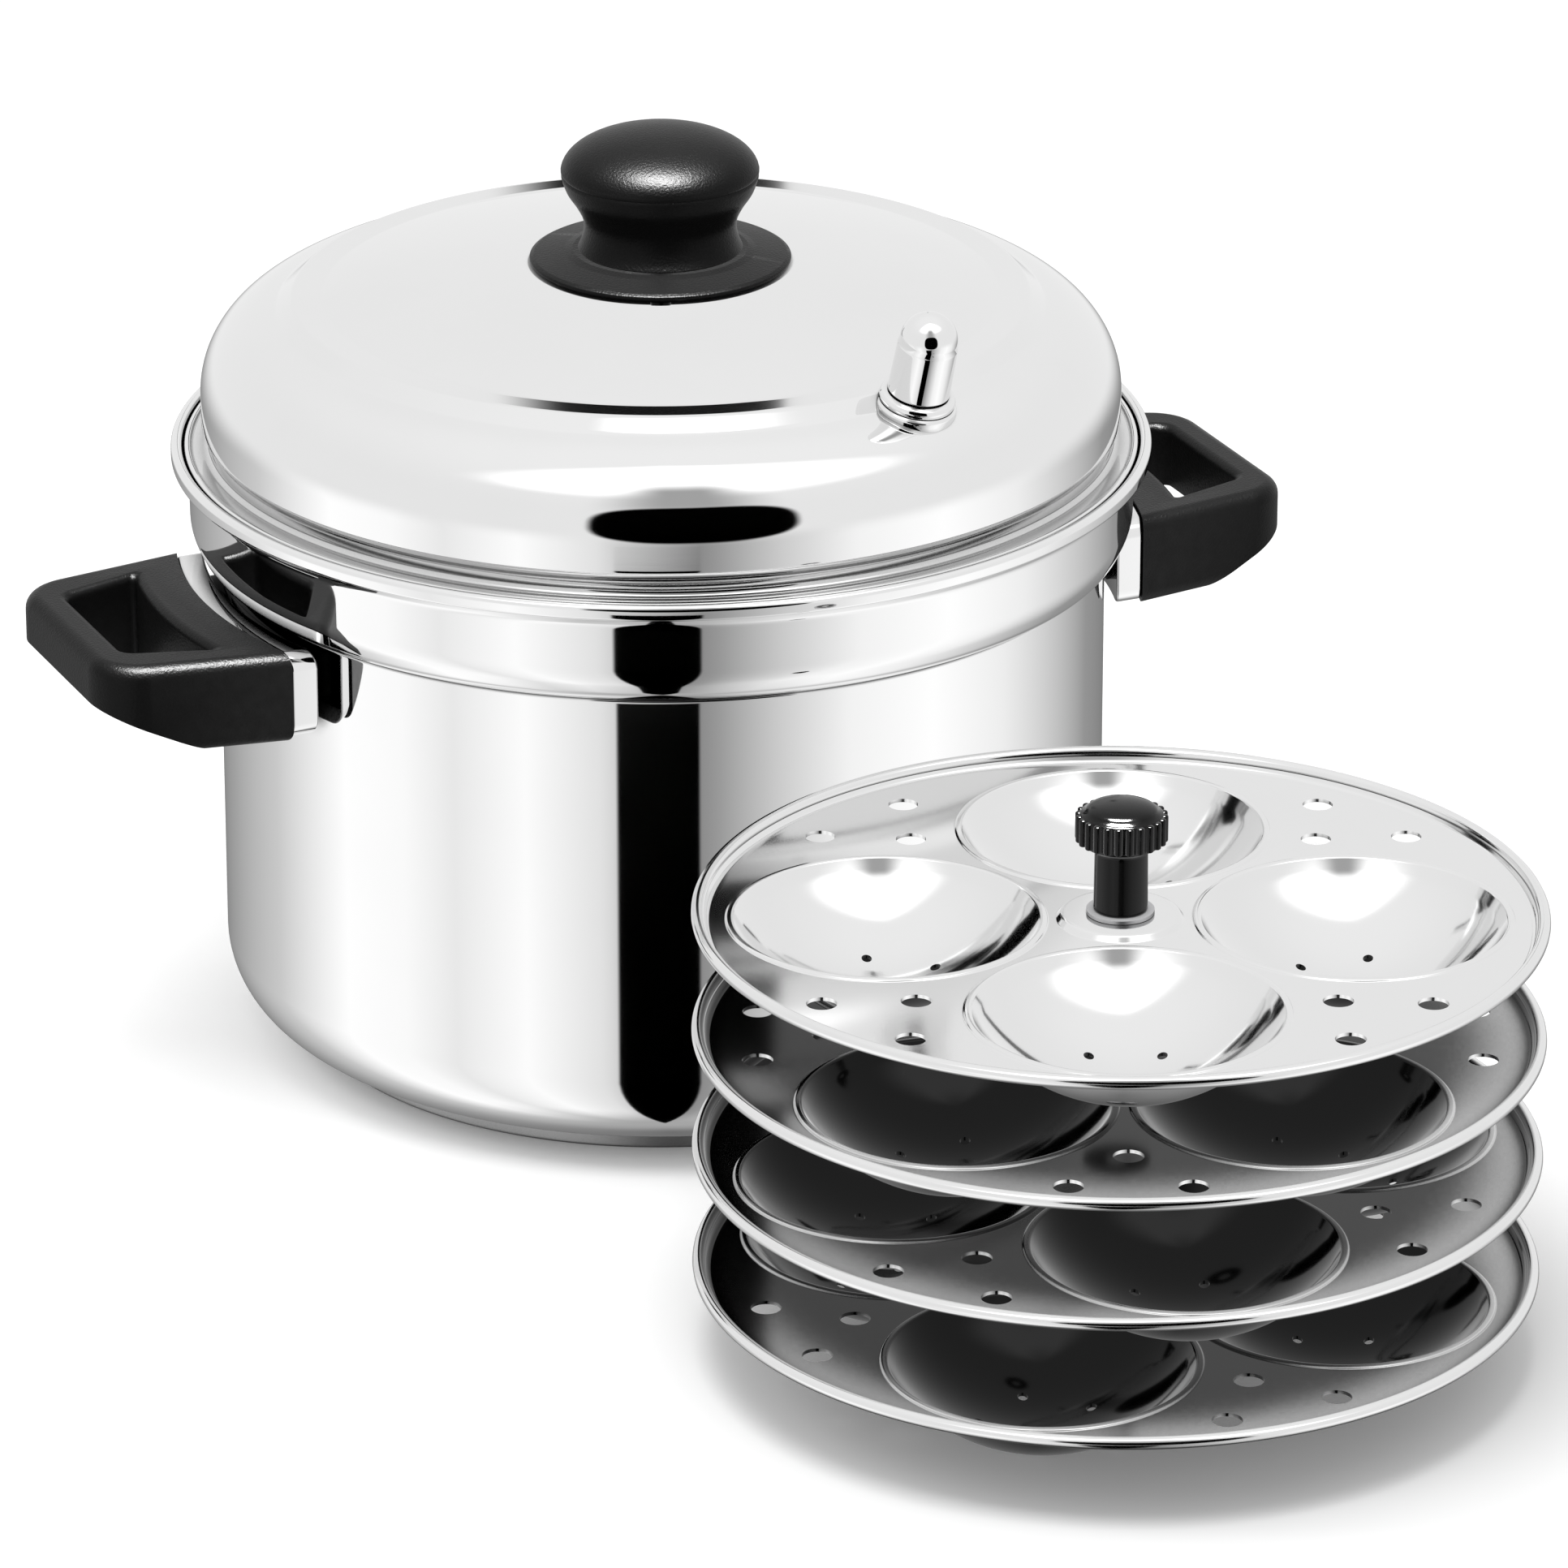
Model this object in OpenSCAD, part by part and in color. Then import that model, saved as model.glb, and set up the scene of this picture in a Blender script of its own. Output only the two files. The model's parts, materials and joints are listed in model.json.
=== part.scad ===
// Idli steamer: a lidded pot on a sandwich base, and the rack of cup plates that steams inside it.
// The pot stands at the origin with its handles along X. The rack stands in front of it, at -Y.
// The cups set the size of the plates, and the plates set the size of the pot that they go into.

/* [Plates] */
// Radius of a cup's mouth
cup_r = 33.6; // [28:0.1:42]
// Depth of a cup
cup_depth = 17.4; // [12:0.1:21]
// Gap between the lips of two cups
cup_gap = 2; // [1:0.1:6]
// Width of the flat and the rim outside the cups
plate_edge = 7.6; // [6:0.1:12]
// Thickness of a plate's sheet
plate_wall = 0.8; // [0.6:0.1:1.2]
// Radius of a cup's drain hole
drain_r = 1.15; // [0.8:0.05:1.5]
// Radius of a steam hole
steam_r = 3.4; // [2:0.1:4]

/* [Rack] */
// Distance from one plate to the next
plate_pitch = 28; // [25:0.5:34]
// Turn of each plate on the rod, from the lowest up
plate_turns = [-134, -99, -69, -114]; // [-180:1:180]
// Radius of the rod
rod_r = 2.5; // [2:0.1:3.5]
// Thickness of the spacer tubes
spacer_wall = 1.9; // [1:0.1:3]
// How far to the right of the pot's middle the rack stands
rack_x = 17; // [-60:1:60]
// Room between the rack and the pot
rack_gap = 4.3; // [2:0.1:40]

/* [Thumb nut] */
// Thickness of the thumb nut's stem around its insert
stem_wall = 1.8; // [1.2:0.1:4]
// Height of the thumb nut's stem
stem_h = 15.5; // [12:0.5:20]
// How far the ribbed head stands out from the stem
head_out = 4.2; // [2.5:0.1:7]
// Height of the thumb nut's ribbed head
head_h = 7.5; // [5:0.5:10]

/* [Pot] */
// Room between the plates and the pot's wall
plate_room = 10; // [5:0.5:20]
// Thickness of the pot's sheet
pot_wall = 1; // [0.8:0.1:1.5]
// Height of the crease where the wall meets the neck
crease_z = 120; // [100:1:150]
// Height of the neck above the crease, up to the top of the rim
neck_h = 27; // [24:1:40]
// How far the neck stands out from the wall
neck_out = 6.5; // [5:0.5:10]
// How far the rolled rim stands out from the neck
rim_out = 4.2; // [4:0.1:6]
// Radius of the corner between wall and floor
floor_corner = 20; // [10:1:30]

/* [Base] */
// Height of the sandwich base under the pot
base_h = 4.6; // [3:0.1:8]
// How far the sandwich base reaches under the rounded corner
base_out = 1; // [-5:0.5:3]

/* [Lid] */
// Play between the lid's upright wall and the pot's neck
lid_play = 2.1; // [1.5:0.1:3]
// Thickness of the lid's sheet
lid_wall = 0.9; // [0.7:0.1:1.5]
// Height of the flat pad for the knob above the pot's rim
lid_rise = 42.5; // [36:0.5:60]
// Radius of curvature of the dome
dome_r = 361; // [300:1:450]
// Width of the rounded shoulder between dome and wall
shoulder_in = 12.4; // [8:0.1:16]
// Distance of the pressed ring step from the shoulder
ring_in = 13; // [12:0.5:40]
// Drop of the pressed ring step
ring_drop = 0.5; // [0.3:0.1:0.8]

/* [Knob] */
// Largest radius of the knob
knob_r = 23.3; // [18:0.1:28]
// Height of the knob above its flange
knob_h = 28.8; // [22:0.1:40]
// Radius of the flange under the knob
flange_r = 31; // [24:0.5:36]
// Thickness of the flange
flange_t = 3.4; // [2.5:0.1:5]
// Radius of the knob's screw
knob_screw_r = 2.4; // [2:0.1:3]

/* [Vent] */
// Distance of the vent from the shoulder's start, in towards the knob
vent_in = 4; // [3:0.1:30]
// Direction of the vent, anticlockwise from the right handle
vent_turn = -74; // [-180:1:180]
// Thickness of the cap's wall around the pipe
cap_wall = 3.7; // [2.5:0.1:6]
// Height of the vent's cap
cap_h = 20.2; // [18:0.1:30]
// Radius of the steam pipe
pipe_r = 3.5; // [2.5:0.1:4.5]
// Thickness of the steam pipe's wall
pipe_wall = 1.9; // [1:0.1:2]

/* [Handles] */
// Distance of the handle's foot from the pot's wall
handle_off = 10; // [8:0.5:14]
// Reach of the handle beyond its foot
handle_reach = 37; // [34:1:50]
// Half width of the handle at its foot
foot_half = 38; // [33:1:44]
// Half width of the handle at its outer end
tip_half = 31; // [27:1:36]
// Height of the handle's top above the crease
handle_rise = 1; // [0:0.5:1.5]
// Depth of the handle at its foot
handle_depth = 22; // [18:0.5:30]
// Depth of the handle at its outer end
tip_depth = 11; // [9:0.5:16]
// Thickness of the bar beside the pot
inner_bar = 11; // [10:0.5:13]
// Thickness of the outer bar
outer_bar = 9; // [7:0.5:12]
// Thickness of the two arms
arm = 10; // [8:0.5:12]

/* [Hidden] */
$fn = 96;
// Clearances: of loose pieces, of a piece that turns or slides on a shaft, and of pieces pressed together
gap = 0.3;
run = 0.1;
touch = 0.05;

// Plates
cup_n = 4;
plate_n = 4;
drain_n = 5;
drain_ring = 13.5;
lip_out = 1.6;
lip_up = 0.5;
cup_at = (cup_r + lip_out + cup_gap / 2) / sin(180 / cup_n);
cup_ball = (pow(cup_r, 2) + pow(cup_depth, 2)) / (2 * cup_depth);
plate_r = cup_at + cup_r + lip_out + plate_edge;
plate_bead = 1.4;
bead_up = 1.9;
bead_round = 1.9;
hub_room = 3;
hub_r = cup_at - cup_r - lip_out - hub_room;
hub_up = 1.5;
steam_outer = plate_r - 13.5;
steam_inner = cup_at + 12.8;
steam_spread = 9.5;

// Rack, from its foot up
first_z = cup_depth + plate_wall;
function plate_z(k) = first_z + k * plate_pitch;
top_z = plate_z(plate_n - 1) + hub_up;
spacer_r = rod_r + run + spacer_wall;
foot_nut_r = rod_r + 4;
foot_nut_h = 6;
foot_nut_z = first_z - plate_wall + hub_up - run - foot_nut_h;
rod_in = 1;
rack_washer_r = rod_r + 5;
rack_washer_t = 0.8;
nut_z = top_z + run + rack_washer_t;
nut_insert_r = rod_r + 1.7;
nut_insert_h = 12;
rod_top = nut_z + nut_insert_h;
stem_r = nut_insert_r + stem_wall;
head_r = stem_r + head_out;
head_dome = 2.2;
rib_n = 24;
rib_r = 0.9;
rib_end = 0.8;

// Pot
pot_r = plate_r + plate_room + pot_wall;
neck_r = pot_r + neck_out;
neck_arc = neck_out + 1.5;
neck_foot = 0.6;
crease_in = 0.5;
rim_r = neck_r + rim_out;
pot_h = crease_z + neck_h;
rim_bead = 1.3;
rim_bead_z = pot_h - rim_bead;
rim_curl = 0.8;
rim_skin = 0.3;
ledge_z = pot_h - 3;
rack_at = [rack_x, -(rim_r + rack_gap + plate_r)];

// Base
base_r = pot_r - floor_corner + base_out;
base_lip = 0.5;
base_edge = 1.2;
cap_sheet = 0.8;

// Lid
seat = 0.15;
lid_r = neck_r - pot_wall - lid_play;
lid_bead = 1.2;
lid_bead_r = rim_r - 2 * rim_bead - 0.5 - lid_bead;
lid_bead_z = ledge_z + seat + lid_bead;
brim_z = lid_bead_z + lid_bead - 0.6;
brim_round = 1.6;
groove_in = 1.8;
groove_half = 1.7;
groove_z = brim_z + 5.3;
groove_soft = [0.4, 0.7];
pad_r = flange_r + 1;
pad_z = pot_h + lid_rise;
dome_top = pad_z + dome_r - sqrt(pow(dome_r, 2) - pow(pad_r, 2));
function dome_z(r) = dome_top - dome_r + sqrt(pow(dome_r, 2) - pow(r, 2));
dome_end = lid_r - shoulder_in;
dome_end_z = dome_z(dome_end) - ring_drop;
dome_slope = asin(dome_end / dome_r);
shoulder = (lid_r - dome_end) / (1 - sin(dome_slope));
shoulder_z = dome_end_z - shoulder * cos(dome_slope);
ring_r = dome_end - ring_in;
ring_half = 1.6;

// Knob
knob_z = pad_z + flange_t;
waist_in = 5.4;
insert_r = knob_screw_r + 2;
insert_h = 13;
washer_r = knob_screw_r + 5.6;
washer_t = 1;
screw_head_r = knob_screw_r + 2.2;
screw_head_h = 3;
slot_w = 1.2;
slot_in = 1.2;

// Vent
vent_at = dome_end - vent_in;
vent_lean = asin(vent_at / dome_r);
pipe_up = 13;
pipe_down = 10.2;
cap_r = pipe_r + run + cap_wall;
cap_seat = pipe_up + gap;
cap_hole_r = 0.8;
cap_hole_z = 6;
collar_r = cap_r + 1.6;
collar_h = 2.4;
vent_pad_r = collar_r + 0.3;
vent_pad_h = 0.9;
vent_pad_low = 4.4;
gasket_r = collar_r - 1;
gasket_t = 1.2;
nut_t = 3;
nut_flat_r = pipe_r + 3;

// Handles
handle_z = crease_z + handle_rise;
handle_mid = handle_z - handle_depth / 2;
foot_r = pot_r + handle_off;
tip_x = foot_r + handle_reach;
window_in = foot_r + inner_bar;
window_out = tip_x - outer_bar;
window_corner = 4.5;
tip_corner = 13;
slope_x = window_in + 2;
stud_r = 4;
stud_in = 4;
hand_screw_r = 2;
hand_head_r = 4;
hand_head_h = 2.6;
hand_head_in = 0.4;
hand_slot = 1;
screw_in = 9;
guard_inset = 0.6;
guard_step = 3.6;
guard_wall = 1;
collar_half = foot_half - 9;
collar_depth = handle_depth - 7;
bracket_half = 16;
bracket_depth = collar_depth - 2 * (guard_wall + gap);
bracket_t = 1.6;

// Outlines. A path is a list of [radius, height] points, and a sheet lies on its left side.
function arc(cx, cz, r, a0, a1, n) =
    [for (i = [0:n]) let (a = a0 + (a1 - a0) * i / n) [cx + r * cos(a), cz + r * sin(a)]];
function left_of(a, b) = [a.y - b.y, b.x - a.x] / norm(b - a);
function mitre(p, i) =
    let (before = i > 0 ? left_of(p[i - 1], p[i]) : left_of(p[0], p[1]),
         after = i < len(p) - 1 ? left_of(p[i], p[i + 1]) : before,
         both = before + after)
    2 * both / (both * both);
function sheet(p, t) = concat(p, [for (i = [len(p) - 1:-1:0]) p[i] + t * mitre(p, i)]);
// Points of a corner at b, between a and c, rounded with radius r
function round_corner(a, b, c, r, n = 6) =
    let (u = (a - b) / norm(a - b), v = (c - b) / norm(c - b),
         half = acos(u * v) / 2, mid = b + (u + v) / norm(u + v) * r / sin(half),
         p = b + u * r / tan(half), q = b + v * r / tan(half),
         a0 = atan2(p.y - mid.y, p.x - mid.x), a1 = atan2(q.y - mid.y, q.x - mid.x),
         turn = a1 - a0 > 180 ? a1 - a0 - 360 : a1 - a0 < -180 ? a1 - a0 + 360 : a1 - a0)
    [for (i = [0:n]) mid + r * [cos(a0 + turn * i / n), sin(a0 + turn * i / n)]];
function rounded(p, r) =
    [for (i = [0:len(p) - 1])
        each round_corner(p[(i + len(p) - 1) % len(p)], p[i], p[(i + 1) % len(p)], r)];
function box_path(w, h) = [[-w, -h], [w, -h], [w, h], [-w, h]] / 2;

module lathe(outline) { rotate_extrude() polygon(outline); }
module bead(r, z, size) { rotate_extrude() translate([r, z]) circle(size, $fn = 24); }
module tube(r_out, r_in, h) {
    difference() {
        cylinder(r = r_out, h = h);
        translate([0, 0, -1]) cylinder(r = r_in, h = h + 2);
    }
}

// Pot
module pot_shell() {
    wall_path = concat(
        [[0, base_h]],
        arc(pot_r - floor_corner, base_h + floor_corner, floor_corner, -90, 0, 10),
        [[pot_r, crease_z - crease_in], [pot_r - crease_in, crease_z]],
        arc(neck_r - neck_arc, crease_z + neck_arc + neck_foot, neck_arc, -78, 0, 8),
        arc(neck_r + rim_curl, ledge_z - pot_wall - rim_curl, rim_curl, 180, 90, 3),
        [[rim_r - rim_bead, ledge_z - pot_wall], [rim_r - rim_skin, ledge_z],
         [rim_r - rim_skin, rim_bead_z]]);
    color("silver") union() {
        lathe(sheet(wall_path, pot_wall));
        bead(rim_r - rim_bead, rim_bead_z, rim_bead);
    }
}

module base_core() {
    color("gainsboro") translate([0, 0, cap_sheet])
        cylinder(r = base_r - cap_sheet - run, h = base_h - cap_sheet);
}

module base_cap() {
    top = base_h - base_lip;
    color("silver") lathe(concat(
        [[0, 0]],
        arc(base_r - base_edge, base_edge, base_edge, -90, 0, 4),
        [[base_r, top], [base_r - cap_sheet, top], [base_r - cap_sheet, cap_sheet], [0, cap_sheet]]));
}

// Handles. Each is drawn on the right and turned round the pot.
module at_side(turn) { rotate([0, 0, turn]) children(); }

// A bar across the handle's foot, its section a rounded rectangle, between two radii from the pot's axis
module foot_bar(half, depth, r_in, r_out, corner) {
    intersection() {
        translate([r_in - half / 2, 0, handle_mid]) rotate([90, 0, 90])
            linear_extrude(r_out - r_in + half) polygon(rounded(box_path(2 * half, depth), corner));
        translate([0, 0, handle_mid - depth]) tube(r_out, r_in, 2 * depth);
    }
}

module bracket() {
    color("darkgray") difference() {
        union() {
            foot_bar(bracket_half, bracket_depth, pot_r + touch, pot_r + bracket_t, 3);
            translate([pot_r + 1, 0, handle_mid]) rotate([0, 90, 0])
                cylinder(r = stud_r, h = handle_off + stud_in - 1);
        }
        translate([foot_r + stud_in - screw_in, 0, handle_mid]) rotate([0, 90, 0])
            cylinder(r = hand_screw_r, h = screw_in + 1);
    }
}

module guard() {
    outer_half = foot_half - guard_inset;
    outer_depth = handle_depth - 2 * guard_inset;
    color("silver") difference() {
        union() {
            foot_bar(collar_half, collar_depth, pot_r + touch, pot_r + guard_step + guard_wall, 3);
            foot_bar(outer_half, outer_depth, pot_r + guard_step, foot_r - touch, 4);
        }
        foot_bar(collar_half - guard_wall, collar_depth - 2 * guard_wall,
            pot_r - 1, pot_r + guard_step + 2, 2);
        foot_bar(outer_half - guard_wall, outer_depth - 2 * guard_wall,
            pot_r + guard_step + guard_wall, foot_r + 1, 3);
    }
}

// Outline of a handle from above, drawn in from its edge
function grip_plan(inset) =
    let (x0 = foot_r - 15, x1 = tip_x - inset, y0 = foot_half - inset + 2, y1 = tip_half - inset)
    concat([[x0, -y0]],
        round_corner([x0, -y0], [x1, -y1], [x1, y1], tip_corner - inset),
        round_corner([x1, -y1], [x1, y1], [x0, y0], tip_corner - inset), [[x0, y0]]);

module grip() {
    side_view = [[pot_r - 5, handle_z - handle_depth], [slope_x, handle_z - handle_depth],
        [tip_x, handle_z - tip_depth], [tip_x + 1, handle_z], [pot_r - 5, handle_z]];
    window = rounded([[foot_r, arm - foot_half - 1], [window_out, arm - tip_half - 1.5],
        [window_out, tip_half - arm + 1.5], [foot_r, foot_half - arm + 1]], window_corner);
    tall = 2 * handle_depth;
    color("#1c1c1c") difference() {
        intersection() {
            hull() for (layer = [[0, 3.4], [-0.9, 1.2], [-3.4, 0], [1 - tall, 0]])
                translate([0, 0, handle_z + layer.x - 0.01]) linear_extrude(0.01)
                    polygon(grip_plan(layer.y));
            rotate([90, 0, 0]) translate([0, 0, -foot_half - 1]) linear_extrude(2 * foot_half + 2)
                polygon(side_view);
        }
        difference() {
            translate([0, 0, handle_z - tall]) linear_extrude(2 * tall) polygon(window);
            translate([0, 0, handle_z - tall]) cylinder(r = window_in, h = 2 * tall, $fn = 180);
        }
        translate([0, 0, handle_z - tall]) cylinder(r = foot_r, h = 2 * tall, $fn = 180);
        translate([pot_r, 0, handle_mid]) rotate([0, 90, 0])
            cylinder(r = stud_r + run, h = handle_off + stud_in + gap);
        translate([foot_r, 0, handle_mid]) rotate([0, 90, 0])
            cylinder(r = hand_screw_r + gap, h = inner_bar);
        translate([window_in - hand_head_h - hand_head_in, 0, handle_mid]) rotate([0, 90, 0])
            cylinder(r = hand_head_r + gap, h = hand_head_h + 2);
    }
}

module hand_screw() {
    head_x = window_in - hand_head_h - hand_head_in;
    color("silver") translate([0, 0, handle_mid]) rotate([0, 90, 0]) {
        difference() {
            translate([0, 0, head_x]) cylinder(r = hand_head_r, h = hand_head_h);
            translate([-hand_slot / 2, -hand_head_r, head_x + hand_head_h - hand_slot])
                cube([hand_slot, 2 * hand_head_r, 2 * hand_slot]);
        }
        translate([0, 0, foot_r + stud_in - screw_in + 1])
            cylinder(r = hand_screw_r, h = head_x - (foot_r + stud_in - screw_in + 1) + 0.5);
    }
}

// Lid
module lid_shell() {
    first = dome_z(ring_r - ring_half);
    last = dome_z(ring_r + ring_half) - ring_drop;
    top_path = concat(
        [[lid_bead_r, brim_z]],
        arc(lid_r - groove_in + brim_round, brim_z + brim_round, brim_round, -90, -180, 3),
        [[lid_r - groove_in, groove_z],
         [lid_r - groove_soft.x, groove_z + groove_half],
         [lid_r, groove_z + groove_half + groove_soft.y]],
        arc(lid_r - shoulder, shoulder_z, shoulder, 0, 90 - dome_slope, 12),
        [for (i = [1:2]) let (r = dome_end + (ring_r + ring_half - dome_end) * i / 3)
            [r, dome_z(r) - ring_drop]],
        [for (i = [0:4]) let (s = (1 - cos(45 * i)) / 2)
            [ring_r + ring_half * (1 - i / 2), last + (first - last) * s]],
        [for (i = [1:6]) let (r = ring_r - ring_half + (pad_r - ring_r + ring_half) * i / 6)
            [r, dome_z(r)]],
        [[0, pad_z]]);
    color("silver") difference() {
        union() {
            lathe(sheet(top_path, lid_wall));
            bead(lid_bead_r, lid_bead_z, lid_bead);
            at_vent() translate([0, 0, -vent_pad_low]) cylinder(r = vent_pad_r, h = vent_pad_low);
        }
        at_vent() translate([0, 0, -vent_pad_low - 2]) cylinder(r = pipe_r + run, h = vent_pad_low + 4);
        translate([0, 0, pad_z - 5]) cylinder(r = knob_screw_r + gap, h = 10);
    }
}

module knob_flange() {
    color("#222222") difference() {
        lathe([[0, pad_z], [flange_r - 1.6, pad_z], [flange_r - 0.3, pad_z + 0.8],
            [flange_r, pad_z + 1.4], [flange_r - 0.8, pad_z + 2], [knob_r - 1, knob_z - 0.3],
            [knob_r - 2, knob_z], [0, knob_z]]);
        translate([0, 0, pad_z - 1]) cylinder(r = knob_screw_r + gap, h = flange_t + 2);
    }
}

module lid_knob() {
    waist = knob_r - waist_in;
    wide_z = 0.65 * knob_h;
    crown = knob_h - wide_z - 0.4;
    color("#161616") difference() {
        lathe(concat(
            [[0, knob_z], [waist + 1.4, knob_z], [waist + 1.2, knob_z + 0.8],
             [waist + 0.3, knob_z + 2.4], [waist, knob_z + 5], [waist + 0.5, knob_z + 7.5],
             [waist + 2.3, knob_z + 10.6]],
            [for (i = [0:3]) let (a = -52 + i * 52 / 3)
                [knob_r - 5 + 5 * cos(a), knob_z + wide_z + 7 * sin(a)]],
            [for (i = [0:9]) [knob_r * cos(10 * i), knob_z + wide_z + 0.4 + crown * sin(10 * i)]],
            [[0, knob_z + knob_h]]));
        translate([0, 0, knob_z - 1]) cylinder(r = insert_r + touch, h = insert_h + 1);
    }
}

module knob_insert() {
    color("goldenrod") translate([0, 0, knob_z])
        difference() {
            cylinder(r = insert_r, h = insert_h - gap);
            translate([0, 0, -1]) cylinder(r = knob_screw_r + touch, h = insert_h - 1);
        }
}

module knob_washer() {
    color("silver") translate([0, 0, pad_z - lid_wall - washer_t])
        tube(washer_r, knob_screw_r + gap, washer_t);
}

module knob_screw() {
    head_z = pad_z - lid_wall - washer_t - screw_head_h;
    color("silver") difference() {
        union() {
            translate([0, 0, head_z]) cylinder(r = screw_head_r, h = screw_head_h);
            translate([0, 0, head_z + 1]) cylinder(r = knob_screw_r, h = knob_z + insert_h - 3 - head_z);
        }
        translate([-slot_w / 2, -screw_head_r, head_z - 1]) cube([slot_w, 2 * screw_head_r, slot_in + 1]);
    }
}

// Vent. Its own Z axis leans out from the lid, and starts on the pressed pad.
module at_vent() {
    rotate([0, 0, vent_turn]) translate([vent_at, 0, dome_z(vent_at) - ring_drop + vent_pad_h])
        rotate([0, vent_lean, 0]) children();
}

module vent_pipe() {
    color("silver") at_vent() difference() {
        union() {
            lathe([[0, 0], [collar_r - 0.9, 0], [collar_r, 0.8], [collar_r, 1.6],
                [collar_r - 0.8, collar_h], [0, collar_h]]);
            translate([0, 0, -pipe_down]) cylinder(r = pipe_r, h = pipe_down + pipe_up);
        }
        translate([0, 0, -pipe_down - 1]) cylinder(r = pipe_r - pipe_wall, h = pipe_down + pipe_up + 2);
    }
}

module vent_gasket() {
    color("#505050") at_vent() translate([0, 0, -vent_pad_low - gasket_t])
        tube(gasket_r, pipe_r + touch, gasket_t);
}

module vent_nut() {
    color("silver") at_vent() translate([0, 0, -vent_pad_low - gasket_t - nut_t])
        difference() {
            cylinder(r = nut_flat_r, h = nut_t, $fn = 6);
            translate([0, 0, -1]) cylinder(r = pipe_r + touch, h = nut_t + 2);
        }
}

module vent_cap() {
    low = collar_h + gap;
    color("silver") at_vent() difference() {
        lathe(concat([[0, low], [cap_r - 0.4, low], [cap_r, low + 0.4]],
            [for (i = [0:8]) [cap_r * cos(11.25 * i), low + cap_h - cap_r + cap_r * sin(11.25 * i)]]));
        translate([0, 0, low - 1]) cylinder(r = pipe_r + run, h = cap_seat - low + 1);
        translate([0, 0, low + cap_hole_z]) rotate([90, 0, 0])
            translate([0, 0, -cap_r]) cylinder(r = cap_hole_r, h = 2 * cap_r);
    }
}

// Rack. It is drawn about its rod and moved to where it stands.
module at_rack() { translate([rack_at.x, rack_at.y, 0]) children(); }

module rack_rod() {
    color("silver") at_rack() translate([0, 0, foot_nut_z + rod_in])
        cylinder(r = rod_r, h = rod_top - foot_nut_z - rod_in);
}

module foot_nut() {
    color("silver") at_rack() difference() {
        translate([0, 0, foot_nut_z]) cylinder(r = foot_nut_r, h = foot_nut_h);
        translate([0, 0, foot_nut_z + rod_in]) cylinder(r = rod_r + touch, h = foot_nut_h);
    }
}

// A cup, with its mouth at the origin: a spherical bowl with a raised lip
module cup() {
    out_ball = cup_ball + plate_wall;
    centre = cup_ball - cup_depth;
    a_in = atan2(cup_r, centre);
    a_out = atan2(cup_r + 0.3, centre + plate_wall);
    lathe(concat(
        [for (i = [0:10]) let (a = -90 + a_out * i / 10)
            [out_ball * cos(a), centre + out_ball * sin(a)]],
        [[cup_r + lip_out, -plate_wall], [cup_r + lip_out, 0], [cup_r + lip_out - 0.5, lip_up * 0.7],
         [cup_r + lip_out / 2, lip_up], [cup_r + 0.2, lip_up * 0.6]],
        [for (i = [0:10]) let (a = -90 + a_in * (10 - i) / 10)
            [cup_ball * cos(a), centre + cup_ball * sin(a)]]));
}

module plate(k) {
    color("silver") at_rack() translate([0, 0, plate_z(k)]) rotate([0, 0, plate_turns[k]]) difference() {
        union() {
            difference() {
                lathe(sheet([
                    [plate_r - plate_bead, bead_up], [plate_r - plate_bead - 1.1, bead_up - 0.5],
                    [plate_r - plate_bead - bead_round, 0.3], [plate_r - plate_bead - 3, 0],
                    [hub_r + 1, 0], [hub_r - 0.6, hub_up], [rod_r + run, hub_up]], plate_wall));
                for (i = [0:cup_n - 1]) rotate([0, 0, 90 * i]) translate([cup_at, 0, -1])
                    cylinder(r = cup_r + lip_out / 2, h = 2);
            }
            bead(plate_r - plate_bead, bead_up, plate_bead);
            for (i = [0:cup_n - 1]) rotate([0, 0, 90 * i]) translate([cup_at, 0, 0]) cup();
        }
        for (i = [0:cup_n - 1], j = [0:drain_n - 1])
            rotate([0, 0, 90 * i]) translate([cup_at, 0, 0]) rotate([0, 0, 360 * j / drain_n])
                translate([drain_ring, 0, -cup_depth - 3]) cylinder(r = drain_r, h = cup_depth);
        for (i = [0:cup_n - 1]) rotate([0, 0, 90 * i + 45]) {
            translate([steam_inner, 0, -2]) cylinder(r = steam_r, h = 4);
            for (s = [-1, 1]) rotate([0, 0, steam_spread * s])
                translate([steam_outer, 0, -2]) cylinder(r = steam_r, h = 4);
        }
    }
}
module plate_1() { plate(0); }
module plate_2() { plate(1); }
module plate_3() { plate(2); }
module plate_4() { plate(3); }

module spacer(k) {
    color("silver") at_rack() translate([0, 0, plate_z(k) + hub_up + run])
        tube(spacer_r, rod_r + run, plate_pitch - plate_wall - 2 * run);
}
module spacer_1() { spacer(0); }
module spacer_2() { spacer(1); }
module spacer_3() { spacer(2); }

module rack_washer() {
    color("silver") at_rack() translate([0, 0, top_z + run]) tube(rack_washer_r, rod_r + run, rack_washer_t);
}

module thumb_nut() {
    head_z = nut_z + stem_h;
    color("#111111") at_rack() difference() {
        union() {
            translate([0, 0, nut_z + run]) cylinder(r = stem_r, h = stem_h);
            translate([0, 0, head_z]) cylinder(r = head_r - rib_r, h = head_h);
            for (i = [0:rib_n - 1]) rotate([0, 0, 360 * i / rib_n])
                translate([head_r - rib_r, 0, head_z]) cylinder(r = rib_r, h = head_h - rib_end);
            lathe([for (i = [0:6])
                    [(head_r - 2) * cos(15 * i), head_z + head_h - 0.1 + head_dome * sin(15 * i)],
                [0, head_z + head_h - 1], [head_r - 2, head_z + head_h - 1]]);
        }
        translate([0, 0, nut_z - 1]) cylinder(r = nut_insert_r + touch, h = nut_insert_h + 2);
    }
}

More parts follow.
